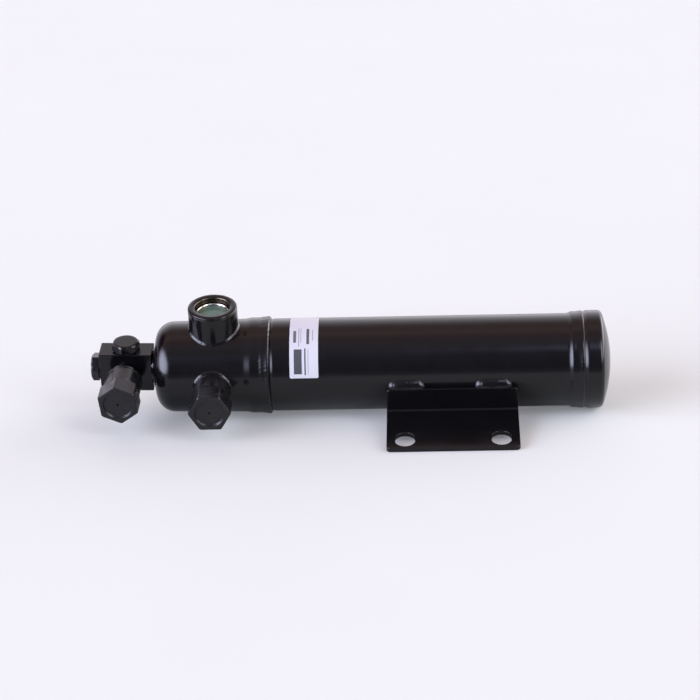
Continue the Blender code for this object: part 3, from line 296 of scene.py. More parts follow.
# warm and bright, the ring over the glass
PLATED = worked_metal("steel_nickel_plated_turned", "#D8D2C6", 0.20, 0.4, (1.0, 1.0, 5.0), 0.01)
# dark brown with a glint, the mouth over the glass
DARK_STEEL = worked_metal("steel_turned_phosphated", "#5B5046", 0.24, 0.6, (1.0, 1.0, 4.0), 0.03)
# grey with long fine lines
DRAWN_STEEL = worked_metal("steel_drawn_tube", "#A9A7A2", 0.38, 0.6, (0.08, 1.0, 1.0), 0.02)
# the soft patches of galvanising
SHEET_STEEL = worked_metal("steel_galvanised_sheet", "#B4B6B8", 0.42, 3.0, (1.0, 1.0, 1.0), 0.02)
# dark, with the sheen of oil
SPRING_STEEL = worked_metal("steel_spring_wire_oiled", "#6E6A66", 0.34, 0.5, (1.0, 1.0, 1.0), 0.02)
METALS = (TURNED_STEEL, PLATED, DARK_STEEL, DRAWN_STEEL, SHEET_STEEL, SPRING_STEEL)
print("metals", *(metal.name for metal in METALS))

# %% [markdown]
# ## Rubber, glass and card
#
# The seals are moulded nitrile rubber, matt with a faint bloom. The sight glass is a polished disc that
# shows the green indicator card under it. Truly clear glass would show the dark bore round the card, and
# the real disc looks green to its edge, so part of the green is given to the glass itself.


# %% Rubber
def nitrile_rubber():
    """Moulded nitrile: nearly black, dull, with a grey bloom on the high spots."""
    material = new_material("nitrile_rubber_moulded", "#121212", 0.62, {"IOR": 1.52})
    grained(material, 1.5, 4.0, tones=("#0E0E0E", "#1E1E1F"), relief=(0.5, 0.05))
    return material


# %% Glass and indicator card
def sight_glass():
    """Polished borosilicate disc, green and milky from the card under it, with smears in its gloss."""
    clear = {"IOR": 1.47, "Transmission Weight": 0.45}
    material = new_material("borosilicate_glass_polished", "#6F8C78", 0.03, clear)
    grained(material, 4.0, 2.0, gloss=(0.4, 0.7, 0.02, 0.10))
    return material


def indicator_card():
    """Salt-soaked paper that shows moisture: a pale green, fibrous and matt."""
    material = new_material("indicator_paper_green", "#8FA79A", 0.8)
    grained(material, 0.8, 5.0, tones=("#7E978A", "#A9BDB1"))
    return material


RUBBER = nitrile_rubber()
GLASS = sight_glass()
CARD = indicator_card()
print("small materials", RUBBER.name, GLASS.name, CARD.name)

# %% [markdown]
# ## What is inside
#
# Felt pads hold the drying beads, and a fine gauze keeps crumbs out of the pickup tube. Nobody sees them
# in a closed vessel, but the model can be opened, so they get their own finishes: fibres for the felt,
# packed cells with painted shade in their gaps for the beads, and a crossed weave with painted shade in its
# openings for the gauze.


# %% Finishes inside
def pressed_felt():
    """Pressed wool felt: off-white, soft and fibrous."""
    material = new_material("wool_felt_pressed", "#DDD8CB", 0.95)
    grained(material, 0.6, 6.0, distortion=1.2, tones=("#CFC9BA", "#EAE6DC"), relief=(1.0, 0.3))
    return material


def bead_bed():
    """Molecular sieve: beige porous beads about 2 mm across, packed together, with painted shade in the
    gaps between them.
    """
    material = new_material("molecular_sieve_beads", "#CBBFA4", 0.9)
    tree = material.node_tree
    place = add_node(tree, "ShaderNodeTexCoord").outputs["Object"]
    bead = add_node(tree, "ShaderNodeTexVoronoi", {"feature": "F1"},
                    {"Vector": place, "Scale": per_mm(2.0), "Randomness": 0.6}).outputs["Distance"]
    dome = add_node(tree, "ShaderNodeMapRange", {"interpolation_type": "SMOOTHSTEP"},
                    {"Value": bead, "From Min": 0.0, "From Max": 0.6, "To Min": 1.0, "To Max": 0.0})
    # the edges of the beads and the gaps between them get the dark tone: painted shade
    work_in(material, dome.outputs["Result"], tones=("#8E8268", "#D8CDB4"), relief=(1.0, 0.8))
    return material


def woven_gauze():
    """Stainless gauze: crossed wires every 1.6 mm, coarser than real so that the weave shows, with painted
    shade in its openings.
    """
    material = new_material("stainless_gauze_woven", "#9A958A", 0.45, {"Metallic": 1.0})
    tree = material.node_tree
    place = add_node(tree, "ShaderNodeTexCoord").outputs["Object"]
    # the bands of a wave texture are a tenth of pi apart at a scale of 1
    bands = {"Vector": place, "Scale": per_mm(1.583) * math.pi / 10}
    wires = [add_node(tree, "ShaderNodeTexWave", {"bands_direction": way}, bands) for way in "XY"]
    weave = add_node(tree, "ShaderNodeMath", {"operation": "MAXIMUM"},
                     {0: wires[0].outputs["Fac"], 1: wires[1].outputs["Fac"]})
    # the openings between the wires get the dark tone: painted shade
    work_in(material, weave.outputs[0], tones=("#3E3B36", "#B5AFA2"), relief=(1.0, 0.2))
    return material


FELT = pressed_felt()
BEADS = bead_bed()
GAUZE = woven_gauze()
print("inner finishes", FELT.name, BEADS.name, GAUZE.name)

# %% [markdown]
# ## Turning and rounding
#
# A lathe never leaves a knife edge. Bevel modifiers could round each corner later, but on a profile it is
# simpler to replace the corner by a true arc before it is spun. `soften` takes corners with a fillet
# radius each, and `turn` spins the finished outline into a closed ring of quads.


# %% Outlines
def soften(corners, steps=5):
    """Turn (along, radius, fillet) corners into an outline whose corners are true arcs."""
    points = []
    count = len(corners)
    for index, (x, r, fillet) in enumerate(corners):
        here = Vector((x, r))
        before = Vector(corners[index - 1][:2]) - here
        after = Vector(corners[(index + 1) % count][:2]) - here
        if fillet <= 0 or before.angle(after) > math.radians(179):
            points.append((x, r))
            continue
        corner = before.angle(after)
        # a fillet takes up to half of each side
        reach = min(fillet / math.tan(corner / 2), before.length * 0.49, after.length * 0.49)
        radius = reach * math.tan(corner / 2)
        middle = (before.normalized() + after.normalized()).normalized()
        centre = here + middle * radius / math.sin(corner / 2)
        start = here + before.normalized() * reach - centre
        end = here + after.normalized() * reach - centre
        sweep = start.angle_signed(end)
        for k in range(steps + 1):
            spun = start.to_3d()
            spun.rotate(Matrix.Rotation(-sweep * k / steps, 3, "Z"))
            points.append(tuple(centre + spun.to_2d()))
    return points


def arc_points(centre, radius, start, end, steps):
    """Points on an arc, angles in degrees from +X towards the radius."""
    angles = [math.radians(start + (end - start) * k / steps) for k in range(steps + 1)]
    return [(centre[0] + radius * math.cos(a), centre[1] + radius * math.sin(a)) for a in angles]


# %% Spinning
def bridge(shape, rings):
    """Faces from each closed ring of points to the next, where a ring of one point is a tip."""
    for low, high in zip(rings, rings[1:]):
        count = max(len(low), len(high))
        for k in range(count if count > 1 else 0):
            after = (k + 1) % count
            near = [low[k % len(low)], low[after % len(low)]]
            far = [high[after % len(high)], high[k % len(high)]]
            shape.faces.new(list(dict.fromkeys(near + far)))


def around(steps):
    """Even angles once round."""
    return [2 * math.pi * k / steps for k in range(steps)]


def spin(outline, angles, reach=None):
    """Spin a closed outline round X at the given angles; reach may change a radius by angle."""
    shape = bmesh.new()
    rings = []
    for x, r in outline:
        ring = []
        for angle in angles if r > TINY else angles[:1]:
            radius = reach(x, r, angle) if reach else r
            ring.append(shape.verts.new((x, radius * math.cos(angle), radius * math.sin(angle))))
        rings.append(ring)
    bridge(shape, rings + rings[:1])
    return shape


def turn(outline, steps):
    """Spin a closed outline in even steps."""
    return spin(outline, around(steps))


print("four steps of a turn:", [round(angle, 2) for angle in around(4)])


# %% Shapes, meshes and objects
def outward(shape):
    """Turn all faces of a closed shape outwards."""
    bmesh.ops.recalc_face_normals(shape, faces=shape.faces)
    if shape.calc_volume(signed=True) < 0:
        bmesh.ops.reverse_faces(shape, faces=shape.faces)


def as_mesh(name, shape):
    """Keep a shape as a mesh."""
    mesh = bpy.data.meshes.new(name)
    shape.to_mesh(mesh)
    shape.free()
    return mesh


def in_scene(name, data):
    """New object at the origin, for a mesh or a camera."""
    thing = bpy.data.objects.new(name, data)
    bpy.context.scene.collection.objects.link(thing)
    return thing


def evaluated(thing):
    """The object with its modifiers worked out."""
    bpy.context.view_layer.update()
    return thing.evaluated_get(bpy.context.evaluated_depsgraph_get())


# %% Finished pieces
def weigh_normals(piece):
    """Let large faces rule the shading, so that a flat stays flat beside its small rounded edge."""
    rule = piece.modifiers.new("weigh", "WEIGHTED_NORMAL")
    rule.keep_sharp = True
    rule.weight = 100
    plain = piece.data
    piece.data = bpy.data.meshes.new_from_object(evaluated(piece))
    piece.modifiers.clear()
    bpy.data.meshes.remove(plain)
    piece.data.name = piece.name


def ride_and_replace(piece, node):
    """The piece rides the one body and stands for its solid."""
    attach(piece, "root")
    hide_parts(node)
    print("%-22s %6d faces for %s" % (piece.name, len(piece.data.polygons), node))
    return piece


def finish_mesh(name, shape, place, material, node, sharp=40.0, weigh=True):
    """Place a shape in the world, shade it smooth up to an angle, and let it stand for its solid."""
    bmesh.ops.remove_doubles(shape, verts=shape.verts, dist=0.0005)
    outward(shape)
    shape.transform(POSE @ place)
    mesh = as_mesh(name, shape)
    mesh.shade_smooth()
    mesh.set_sharp_from_angle(angle=math.radians(sharp))
    mesh.materials.append(material)
    piece = in_scene(name, mesh)
    if weigh:
        weigh_normals(piece)
    return ride_and_replace(piece, node)


def second_finish(piece, place, material, is_there):
    """Another finish for the faces that pass a test of how far along and off the axis they are."""
    piece.data.materials.append(material)
    back = (POSE @ place).inverted()
    for face in piece.data.polygons:
        middle = back @ face.center
        if is_there(middle.x, math.hypot(middle.y, middle.z)):
            face.material_index = 1


STEPS = 192

# %% [markdown]
# ## Tube
#
# The shell is a welded and sized tube, swaged down at one end to slip inside the head's skirt and belled
# out at the other to take the cap. It is one revolved profile; a mirror-like finish shows every facet, so
# 192 steps go round it.


# %% Tube
BELL_LENGTH = 5.0


def tube_outline():
    """Tube with a swaged end under the head and a belled end over the cap."""
    spigot = SKIRT_R - WALL - GAP
    bell_x = TUBE_X[1] - BELL_LENGTH
    corners = [
        (SWAGE_X, spigot, 0),
        (TUBE_X[0] - 3.0, spigot, 2),
        (TUBE_X[0] + 0.1, TUBE_R - 0.55, 1),
        (TUBE_X[0] + 2.2, TUBE_R, 4),
        (bell_x - 3.0, TUBE_R, 6),
        (bell_x, BELL_R, 3),
        (TUBE_X[1], BELL_R, 0.3),
        (TUBE_X[1], BELL_R - TUBE_WALL, 0),
        (bell_x, BELL_R - TUBE_WALL, 0),
        (bell_x - 3.0, TUBE_R - TUBE_WALL, 0),
        (TUBE_X[0] + 1.0, TUBE_R - TUBE_WALL, 0),
        (TUBE_X[0] - 2.0, spigot - TUBE_WALL, 0),
        (SWAGE_X, spigot - TUBE_WALL, 0),
    ]
    return soften(corners, 6)


finish_mesh("tube_skin", turn(tube_outline(), STEPS), VESSEL_AXIS, ENAMEL,
            "shell_tube")

# %% [markdown]
# ## Drawn head
#
# The head is deep drawn from one blank: a flat crown, a knuckle, a wall with a little draft, and a joggle
# where the mouth is opened to slip over the tube. The joggle is two tangent arcs of 16 and 12 mm, which
# give the long soft highlight beside the weld.


# %% Head
def wall_radius(x):
    """Outer radius of the head's slightly conical wall at x."""
    start = APEX_X + KNUCKLE_R
    share = min(1.0, max(0.0, (x - start) / (JOGGLE_X[0] - start)))
    return HEAD_R + (MOUTH_R - HEAD_R) * share


def dome(apex, crown, knuckle, radius, crown_steps, knuckle_steps):
    """Torispherical profile that bulges to -X, from the apex to the wall."""
    centre_r = radius - knuckle
    half = math.asin(centre_r / (crown - knuckle))
    centre_x = apex + crown - (crown - knuckle) * math.cos(half)
    points = []
    for k in range(crown_steps + 1):
        angle = half * k / crown_steps
        points.append((apex + crown * (1 - math.cos(angle)), crown * math.sin(angle)))
    for k in range(1, knuckle_steps + 1):
        angle = half + (math.pi / 2 - half) * k / knuckle_steps
        points.append((centre_x - knuckle * math.cos(angle), centre_r + knuckle * math.sin(angle)))
    return points


def head_outline():
    """Dome, conical wall, joggle and skirt, with the wall's thickness."""
    outer = dome(APEX_X, CROWN_R, KNUCKLE_R, HEAD_R, 14, 24)
    mouth = [
        (JOGGLE_X[0], MOUTH_R, 16),
        (JOGGLE_X[1], SKIRT_R, 12),
        (SKIRT_END_X, SKIRT_R, 0.5),
        (SKIRT_END_X, SKIRT_R - WALL, 0.2),
        (JOGGLE_X[1], SKIRT_R - WALL, 10),
        (JOGGLE_X[0], MOUTH_R - WALL, 10),
    ]
    inner = dome(APEX_X + WALL, CROWN_R - WALL, KNUCKLE_R - WALL, HEAD_R - WALL, 4, 6)[::-1]
    start = (outer[-1][0], outer[-1][1], 0)
    end = (inner[0][0], inner[0][1], 0)
    return outer[:-1] + soften([start] + mouth + [end], 8) + inner[1:]


finish_mesh("head_skin", turn(head_outline(), STEPS), VESSEL_AXIS, ENAMEL,
            "inlet_head")

# %% [markdown]
# ## End cap
#
# The cap is pressed: a spigot that centres it in the belled tube, a chamfered shoulder against the weld,
# a straight land and a shallow crown. The knuckle between the two is a 4.5 mm radius, which catches one
# light as a short soft streak. The same dome formula as for the head serves here, turned round.


# %% End cap
def end_cap_outline():
    """Spigot, rounded shoulder, land, knuckle and shallow crown."""
    spigot = BELL_R - TUBE_WALL - GAP
    land = [
        (CAP_SHOULDER_X - 9.0, spigot, 0),
        (CAP_SHOULDER_X, spigot, 0),
        (CAP_SHOULDER_X, CAP_R - 1.1, 0.3),
        (CAP_SHOULDER_X + 2.6, CAP_R, 5.0),
        (CAP_RIM_X - 1.0, CAP_R, 0),
    ]
    inner_half = math.degrees(math.asin((spigot - 2 * WALL) / (DISH_R - WALL)))
    outer = dome(-CAP_APEX_X, DISH_R, CAP_KNUCKLE_R, CAP_R, 16, 14)[::-1]
    inner = arc_points((CAP_APEX_X - DISH_R, 0), DISH_R - WALL, 0, inner_half, 5)
    pocket = [(CAP_RIM_X, spigot - WALL), (CAP_SHOULDER_X - 9.0, spigot - WALL)]
    return soften(land, 7) + [(-x, r) for x, r in outer] + inner + pocket


finish_mesh("end_cap_skin", turn(end_cap_outline(), STEPS), VESSEL_AXIS, ENAMEL,
            "end_cap")

# %% [markdown]
# ## A weld bead
#
# A bead is a row of frozen ripples. Modelling each one would never end, but a bead has a rule: the metal
# rises and falls with each step of the torch, wanders a little, and dies out at its toes. Geometry Nodes
# hold that rule. Each bead comes in as a plain band that knows how far along the joint a point is and how
# far up the face, and the tree moves the points along their normals. Pitch, height, wander and seed are
# inputs, so a robot's bead and a hand's bead use the same tree.


# %% The bead tree
FRONT_LAG = 0.45
WANDER = 0.35


def bead_tree():
    """Geometry Nodes group: ripples along the attribute 'along', faded by the attribute 'rise'."""
    tree = bpy.data.node_groups.new("weld_bead", "GeometryNodeTree")
    kinds = {"Geometry": "Geometry", "Pitch": "Float", "Height": "Float", "Wobble": "Float",
             "Seed": "Float", "Material": "Material"}
    for label, kind in kinds.items():
        tree.interface.new_socket(label, in_out="INPUT", socket_type="NodeSocket" + kind)
    tree.interface.new_socket("Geometry", in_out="OUTPUT", socket_type="NodeSocketGeometry")
    given = add_node(tree, "NodeGroupInput").outputs
    along, rise = (add_node(tree, "GeometryNodeInputNamedAttribute", {"data_type": "FLOAT"},
                            {"Name": label}).outputs["Attribute"] for label in ("along", "rise"))
    steps = add_node(tree, "ShaderNodeMath", {"operation": "DIVIDE"}, {0: along, 1: given["Pitch"]})
    # the freezing front is bowed, so the ripple lags at the toes
    lag = add_node(tree, "ShaderNodeMath", {"operation": "MULTIPLY"}, {0: rise, 1: FRONT_LAG})
    wave = steps.outputs[0]
    for operation, amount in (("ADD", lag.outputs[0]), ("FRACT", 0.0), ("PINGPONG", 0.5),
                              ("MULTIPLY", given["Height"])):
        wave = add_node(tree, "ShaderNodeMath", {"operation": operation}, {0: wave, 1: amount}).outputs[0]
    where = add_node(tree, "ShaderNodeCombineXYZ", None, {"X": along, "Y": given["Seed"]})
    lift = add_node(tree, "ShaderNodeTexNoise", {"noise_dimensions": "2D"},
                    {"Vector": where.outputs["Vector"], "Scale": WANDER, "Detail": 2.0}).outputs["Fac"]
    for operation, amount in (("SUBTRACT", 0.5), ("MULTIPLY", given["Wobble"]), ("ADD", wave),
                              ("MULTIPLY", rise)):
        lift = add_node(tree, "ShaderNodeMath", {"operation": operation}, {0: lift, 1: amount}).outputs[0]
    normal = add_node(tree, "GeometryNodeInputNormal").outputs["Normal"]
    push = add_node(tree, "ShaderNodeVectorMath", {"operation": "SCALE"}, {"Vector": normal, "Scale": lift})
    moved = add_node(tree, "GeometryNodeSetPosition", None,
                     {"Geometry": given["Geometry"], "Offset": push.outputs["Vector"]})
    real = add_node(tree, "GeometryNodeRealizeInstances", None, {"Geometry": moved.outputs["Geometry"]})
    painted = add_node(tree, "GeometryNodeSetMaterial", None,
                       {"Geometry": real.outputs["Geometry"], "Material": given["Material"]})
    add_node(tree, "NodeGroupOutput", None, {"Geometry": painted.outputs["Geometry"]})
    return tree


BEAD_TREE = bead_tree()
print("bead tree with", len(BEAD_TREE.nodes), "nodes")


# %% Growing a piece through a tree
def grow(name, mesh, tree, inputs):
    """Run a mesh through a Geometry Nodes tree and return the result as a plain mesh object."""
    band = in_scene(name + "_seed", mesh)
    modifier = band.modifiers.new("tree", "NODES")
    modifier.node_group = tree
    for item in tree.interface.items_tree:
        if item.in_out == "INPUT" and item.name in inputs:
            modifier[item.identifier] = inputs[item.name]
    result = bpy.data.meshes.new_from_object(evaluated(band))
    band.modifiers.remove(modifier)
    bpy.data.objects.remove(band)
    result.name = name
    return in_scene(name, result)


def bead_piece(name, shape, along, rise, node, pitch, height, wobble, seed):
    """A band of a joint with its ripples, as a piece that stands for its solid; sizes in mm."""
    outward(shape)
    mesh = as_mesh(name + "_band", shape)
    for label, values in (("along", along), ("rise", rise)):
        mesh.attributes.new(label, "FLOAT", "POINT").data.foreach_set("value", values)
    inputs = {"Pitch": pitch, "Height": height, "Wobble": wobble, "Seed": seed, "Material": ENAMEL}
    piece = grow(name, mesh, BEAD_TREE, inputs)
    piece.data.transform(POSE)
    piece.data.shade_smooth()
    piece.data.set_sharp_from_angle(angle=math.radians(70))
    return ride_and_replace(piece, node)


# %% [markdown]
# ## Beads round the vessel
#
# Two turning jigs made the long beads, so they are even: a ripple every 1.6 or 2 mm and hardly any
# wander. Each band is the joint's groove and its crown as one closed ring; the crown is a smooth line
# through a few points, from the toe on one neighbour to the toe on the other, where its ripples end.


# %% Ring beads
def flowing(points, steps):
    """Smooth line through the given points."""
    line = []
    padded = [points[0]] + list(points) + [points[-1]]
    for ends in zip(padded, padded[1:], padded[2:], padded[3:]):
        for k in range(steps):
            t = k / steps
            line.append(tuple(
                0.5 * (2 * q + (r - p) * t + (2 * p - 5 * q + 4 * r - s) * t * t
                       + (3 * q - p - 3 * r + s) * t ** 3)
                for p, q, r, s in zip(*ends)
            ))
    return line + [points[-1]]


def ring_bead(name, crown, under, steps, node, **ripples):
    """Bead round the vessel: the crown ripples and fades to its toes, the rest lies in the joint."""
    outline = crown + under
    angles = around(steps)
    fade = [math.sin(math.pi * k / (len(crown) - 1)) for k in range(len(crown))] + [0.0] * len(under)
    along = [r * angle for _, r in outline for angle in angles]
    rise = [share for share in fade for _ in angles]
    bead_piece(name, spin(outline, angles), along, rise, node, **ripples)


def head_bead():
    """Bead between the head's skirt and the tube: a flat first pass, a crest and a steep toe."""
    root = SKIRT_R - WALL
    crown = flowing([(-74.2, SKIRT_R - 0.05), (-73.4, 39.34), (-72.6, 39.46), (-71.8, 39.61),
                     (-70.9, 39.7), (-69.4, 39.82), (-68.0, 40.03), (-67.0, 40.2), (-66.2, 40.18),
                     (-65.5, 39.5), (-65.0, 38.7), (-64.6, 38.0), (-64.3, 37.4)], 4)
    under = [(TUBE_X[0], 36.9), (TUBE_X[0] - 3.0, root), (SKIRT_END_X, root), (SKIRT_END_X, SKIRT_R - 0.6)]
    ring_bead("head_bead", crown, under, 600, "head_weld",
              pitch=2.0, height=0.08, wobble=0.5, seed=3.0)


def cap_bead():
    """Bead between the belled tube and the cap: a long slope, then a steep side into the cap's shoulder."""
    root = BELL_R - TUBE_WALL
    crown = flowing([(183.6, BELL_R - 0.05), (185.5, 39.56), (187.2, 39.76), (188.4, 39.98), (189.2, 40.12),
                     (190.0, 40.02), (190.6, 39.75), (191.2, 39.35), (191.6, 39.0)], 4)
    under = [(CAP_SHOULDER_X, root), (TUBE_X[1], root), (TUBE_X[1], BELL_R - 0.6)]
    ring_bead("cap_bead", crown, under, 600, "cap_weld",
              pitch=1.6, height=0.03, wobble=0.2, seed=11.0)


head_bead()
cap_bead()

# %% [markdown]
# ## Feet on the head
#
# The sight glass boss and the port stand on a round wall, so their feet are saddles. Cutting them with
# the head's shape is one way; here the foot's lowest ring is simply dropped onto the wall's formula,
# which keeps the mesh clean. The fillet welds round them use the same formula, ring by ring.


# %% Saddles
def on_wall(x, across, looks_up):
    """Point of the head's outer wall at x, above or in front of the axis and off it by across."""
    height = math.sqrt(wall_radius(x) ** 2 - across ** 2)
    return Vector((x, across, height)) if looks_up else Vector((x, -height, across))


def drop_foot(shape, place, looks_up):
    """Move every point at the foot's level 0 onto the head's wall."""
    back = place.inverted()
    for corner in shape.verts:
        if abs(corner.co.x) < TINY:
            point = place @ corner.co
            corner.co = back @ on_wall(point.x, point.y if looks_up else point.z, looks_up)
    return shape


WELD_LEG = 1.2
FILLET = (
    # out along the wall and up the foot, in shares of the weld's leg, then the share of the ripples
    (0.0, -0.3, 0.0),
    (1.0, -0.12, 0.0),
    (0.98, 0.0, 0.2),
    (0.72, 0.2, 0.8),
    (0.5, 0.4, 1.0),
    (0.32, 0.6, 1.0),
    (0.14, 0.82, 0.5),
    (0.0, 1.0, 0.0),
)


def foot_weld(name, station, radius, looks_up, node, **ripples):
    """Fillet weld round a foot on the head's wall."""
    shape = bmesh.new()
    lift = Vector((0, 0, WELD_LEG)) if looks_up else Vector((0, -WELD_LEG, 0))
    along, rise, rings = [], [], []
    for angle in around(240):
        ring = []
        for out, up, share in FILLET:
            reach = radius + WELD_LEG * out
            foot = on_wall(station + reach * math.cos(angle), reach * math.sin(angle), looks_up)
            ring.append(shape.verts.new(foot + lift * up))
            along.append(radius * angle)
            rise.append(share)
        rings.append(ring)
    bridge(shape, rings + rings[:1])
    bead_piece(name, shape, along, rise, node, **ripples)


# %% [markdown]
# ## Sight glass
#
# The boss is a turned cup whose lip is rolled inward over the glass, leaving a small groove below it. A
# plated ring clamps the glass, and the green card lies under it. All of it is turned about one upright
# axis, so it is drawn piece by piece from the outside in.


# %% Boss
GLASS_AXIS = upward(GLASS_X)
BOSS_R = 20.2
POCKET_R = 14.1
POCKET_Z = 46.8
LIP_Z = 55.9


def boss_outline():
    """Cup with a groove, a rounded lip and the pocket for the glass."""
    corners = [
        (0.0, 9.0, 0),
        (0.0, BOSS_R, 0),
        (LIP_Z - 1.4, BOSS_R, 0.3),
        (LIP_Z - 1.0, BOSS_R - 0.6, 0.2),
        (LIP_Z - 0.7, BOSS_R - 0.6, 0.2),
        (LIP_Z - 0.3, BOSS_R - 0.1, 0.2),
    ]
    turns = [math.radians(6 * k) for k in range(16)]
    lip = [(LIP_Z + 1.4 * math.sin(a), 17.3 + 2.8 * math.cos(a)) for a in turns]
    mouth = [(57.15, 15.9), (56.9, 15.1), (56.6, 14.6), (56.0, 14.25), (55.2, POCKET_R + 0.02)]
    return soften(corners, 3) + lip + mouth + [(POCKET_Z, POCKET_R), (POCKET_Z, 9.0)]


boss_shape = drop_foot(turn(boss_outline(), 160), GLASS_AXIS, True)
boss = finish_mesh("sight_boss_skin", boss_shape, GLASS_AXIS, ENAMEL,
                   "sight_glass_boss", sharp=35)
# the mouth was masked while the paint was sprayed
second_finish(boss, GLASS_AXIS, DARK_STEEL, lambda z, r: z > POCKET_Z - 0.8 and r < POCKET_R + 0.5)
foot_weld("sight_boss_bead", GLASS_X, BOSS_R + 0.05, True, "sight_glass_weld",
          pitch=2.0, height=0.15, wobble=0.5, seed=5.0)


# %% Glass, ring, gasket and card
def ring_outline(low, high, inner, outer, edge):
    """A flat ring with softened edges."""
    return soften([(low, inner, edge), (low, outer, edge), (high, outer, edge), (high, inner, edge)], 3)


LENS_OUTLINE = soften([(47.4, 0, 0), (47.4, 13.8, 0.2), (50.6, 13.8, 0.3), (50.6, 0, 0)], 3)
CARD_OUTLINE = soften([(44.1, 0, 0), (44.1, 8.7, 0.2), (45.5, 8.7, 0.2), (45.5, 0, 0)], 3)
GASKET_OUTLINE = ring_outline(46.1, 47.1, 10.0, 13.8, 0.3)
RETAINER_OUTLINE = soften(
    [(50.9, 12.2, 0.1), (50.9, 13.3, 0.2), (52.1, 13.3, 0.3), (52.1, 12.8, 0.2), (51.4, 12.2, 0.2)], 3
)
for name, outline, steps, finish, node, finish_slot in (
    ("sight_lens", LENS_OUTLINE, 128, GLASS, "sight_glass_lens", "sight_glass"),
    ("sight_ring", RETAINER_OUTLINE, 128, PLATED, "sight_glass_ring", "plated_ring"),
    ("sight_gasket", GASKET_OUTLINE, 96, RUBBER, "sight_glass_seal", "black_rubber"),
    ("sight_card", CARD_OUTLINE, 96, CARD, "moisture_indicator", "indicator_green"),
):
    finish_mesh(name, turn(outline, steps), GLASS_AXIS, finish, node)

# %% [markdown]
# ## Threads
#
# Both fittings carry a 25 mm thread under their caps. A thread is a rule if anything is: a ridge that
# climbs one pitch for each turn. The spin function already asks for a radius by place and angle, so the
# ridge is written as a wave of place minus angle, and it fades at both ends as a die leaves it.


# %% Threaded fittings
THREAD_R = 12.5
THREAD_PITCH = 1.5
THREAD_DEPTH = 0.8
GROOVE_R = 10.3
GROOVE_BACK = 4.0
GROOVE_HALF = 1.4


def thread_reach(start, end):
    """Radius of a thread between two places along a fitting, faded over one pitch."""
    def reach(x, r, angle):
        if r < THREAD_R - 0.6 or not start < x < end:
            return r
        fade = min(1.0, (x - start) / THREAD_PITCH, (end - x) / THREAD_PITCH)
        wave = (x / THREAD_PITCH - angle / (2 * math.pi)) % 1.0
        return THREAD_R - THREAD_DEPTH * fade * abs(2 * wave - 1)
    return reach


def fitting_nose(start, nose):
    """Thread, O-ring groove and chamfered nose."""
    groove = nose - GROOVE_BACK
    rows = [(start, THREAD_R)]
    place = start + 0.3
    while place < groove - 1.6:
        rows.append((place, THREAD_R))
        place += THREAD_PITCH / 6
    return rows + soften([
        (groove - GROOVE_HALF, THREAD_R, 0),
        (groove - GROOVE_HALF, GROOVE_R, 0.2),
        (groove + GROOVE_HALF, GROOVE_R, 0.2),
        (groove + GROOVE_HALF, THREAD_R, 0.1),
        (nose - 1.2, THREAD_R, 0.2),
        (nose, THREAD_R - 1.2, 0.2),
        (nose, 8.0, 0.3),
    ], 3)


def fitting_piece(name, shape, place, paint_end, node):
    """Turned fitting: enamel on what was in the spray, bare steel under the cap."""
    piece = finish_mesh(name, shape, place, TURNED_STEEL, node, sharp=35)
    second_finish(piece, place, ENAMEL, lambda x, r: x < paint_end)


PORT_R = 15.2
PORT_AXIS = forward(PORT_X)
port_outline = [(0.0, 8.0)] + soften([(0.0, PORT_R, 0), (38.2, PORT_R, 0.4), (38.2, THREAD_R, 0)], 4)
port_outline += fitting_nose(38.4, PORT_NOSE_P)
port_shape = drop_foot(spin(port_outline, around(96), thread_reach(39.5, 60.0)), PORT_AXIS, False)
fitting_piece("port_thread", port_shape, PORT_AXIS, 38.3, "port_fitting")
foot_weld("port_bead", PORT_X, PORT_R + 0.05, False, "port_weld",
          pitch=2.4, height=0.12, wobble=0.5, seed=8.0)

OUTLET_AXIS = ASKEW @ forward(BLOCK_MID_X)
outlet_outline = soften([(4.3, 5.5, 0), (4.3, 9.0, 0), (21.7, 9.0, 0), (21.7, 15.1, 0.4), (24.5, 15.1, 0.4),
                         (24.5, THREAD_R, 0)], 4)
outlet_outline += fitting_nose(24.7, OUTLET_NOSE_P) + [(28.8, 8.0), (26.3, 5.5)]
outlet_shape = spin(outlet_outline, around(96), thread_reach(28.0, 46.3))
fitting_piece("outlet_thread", outlet_shape, OUTLET_AXIS, 24.6, "outlet_fitting")

# %% O-rings
for name, axis, nose, node in (
    ("port_ring", PORT_AXIS, PORT_NOSE_P, "port_oring"),
    ("outlet_ring", OUTLET_AXIS, OUTLET_NOSE_P, "outlet_oring"),
):
    cord = arc_points((nose - GROOVE_BACK, 11.5), 0.93, 0, 337.5, 15)
    finish_mesh(name, turn(cord, 96), axis, RUBBER, node, sharp=80)

# %% [markdown]
# ## Protective caps
#
# A shipping cap starts as a round collar and runs out into a hexagon for a spanner. Where the cone meets
# the flats the mould leaves curved edges. A boolean would give those with hard edges; instead the radius
# at each angle is the smaller of the turned profile and the hexagon, joined by a smooth minimum, so every
# edge comes out with a moulded radius.


# %% Hexagonal turning
def smooth_min(a, b, width):
    """The smaller of two lengths, with a round transition of the given width."""
    if abs(a - b) >= width:
        return min(a, b)
    blend = 0.5 + 0.5 * (b - a) / width
    return b + (a - b) * blend - width * blend * (1 - blend)


def hex_angles(turned):
    """Angles that crowd towards the six corners."""
    offsets = (0.0, 0.7, 1.4, 2.1, 3.0, 4.5, 7.0, 10.5, 15.0, 20.0, 25.0)
    spread = sorted(set([-o for o in offsets] + list(offsets) + [30.0]))
    return [math.radians(60 * k + o) + turned for k in range(6) for o in spread]


def hex_reach(flats, turned, edges, width=0.35):
    """Radius of a profile held within a hexagon whose flats are drawn in near the given ends."""
    def reach(x, r, angle):
        off = (angle - turned + math.pi / 6) % (math.pi / 3) - math.pi / 6
        flat = flats / 2 / math.cos(math.pi / 6 - abs(off))
        for end, radius in edges:
            near = radius - abs(end - x)
            if near > 0:
                flat -= radius - math.sqrt(radius ** 2 - min(near, radius) ** 2)
        return smooth_min(r, flat, width)
    return reach


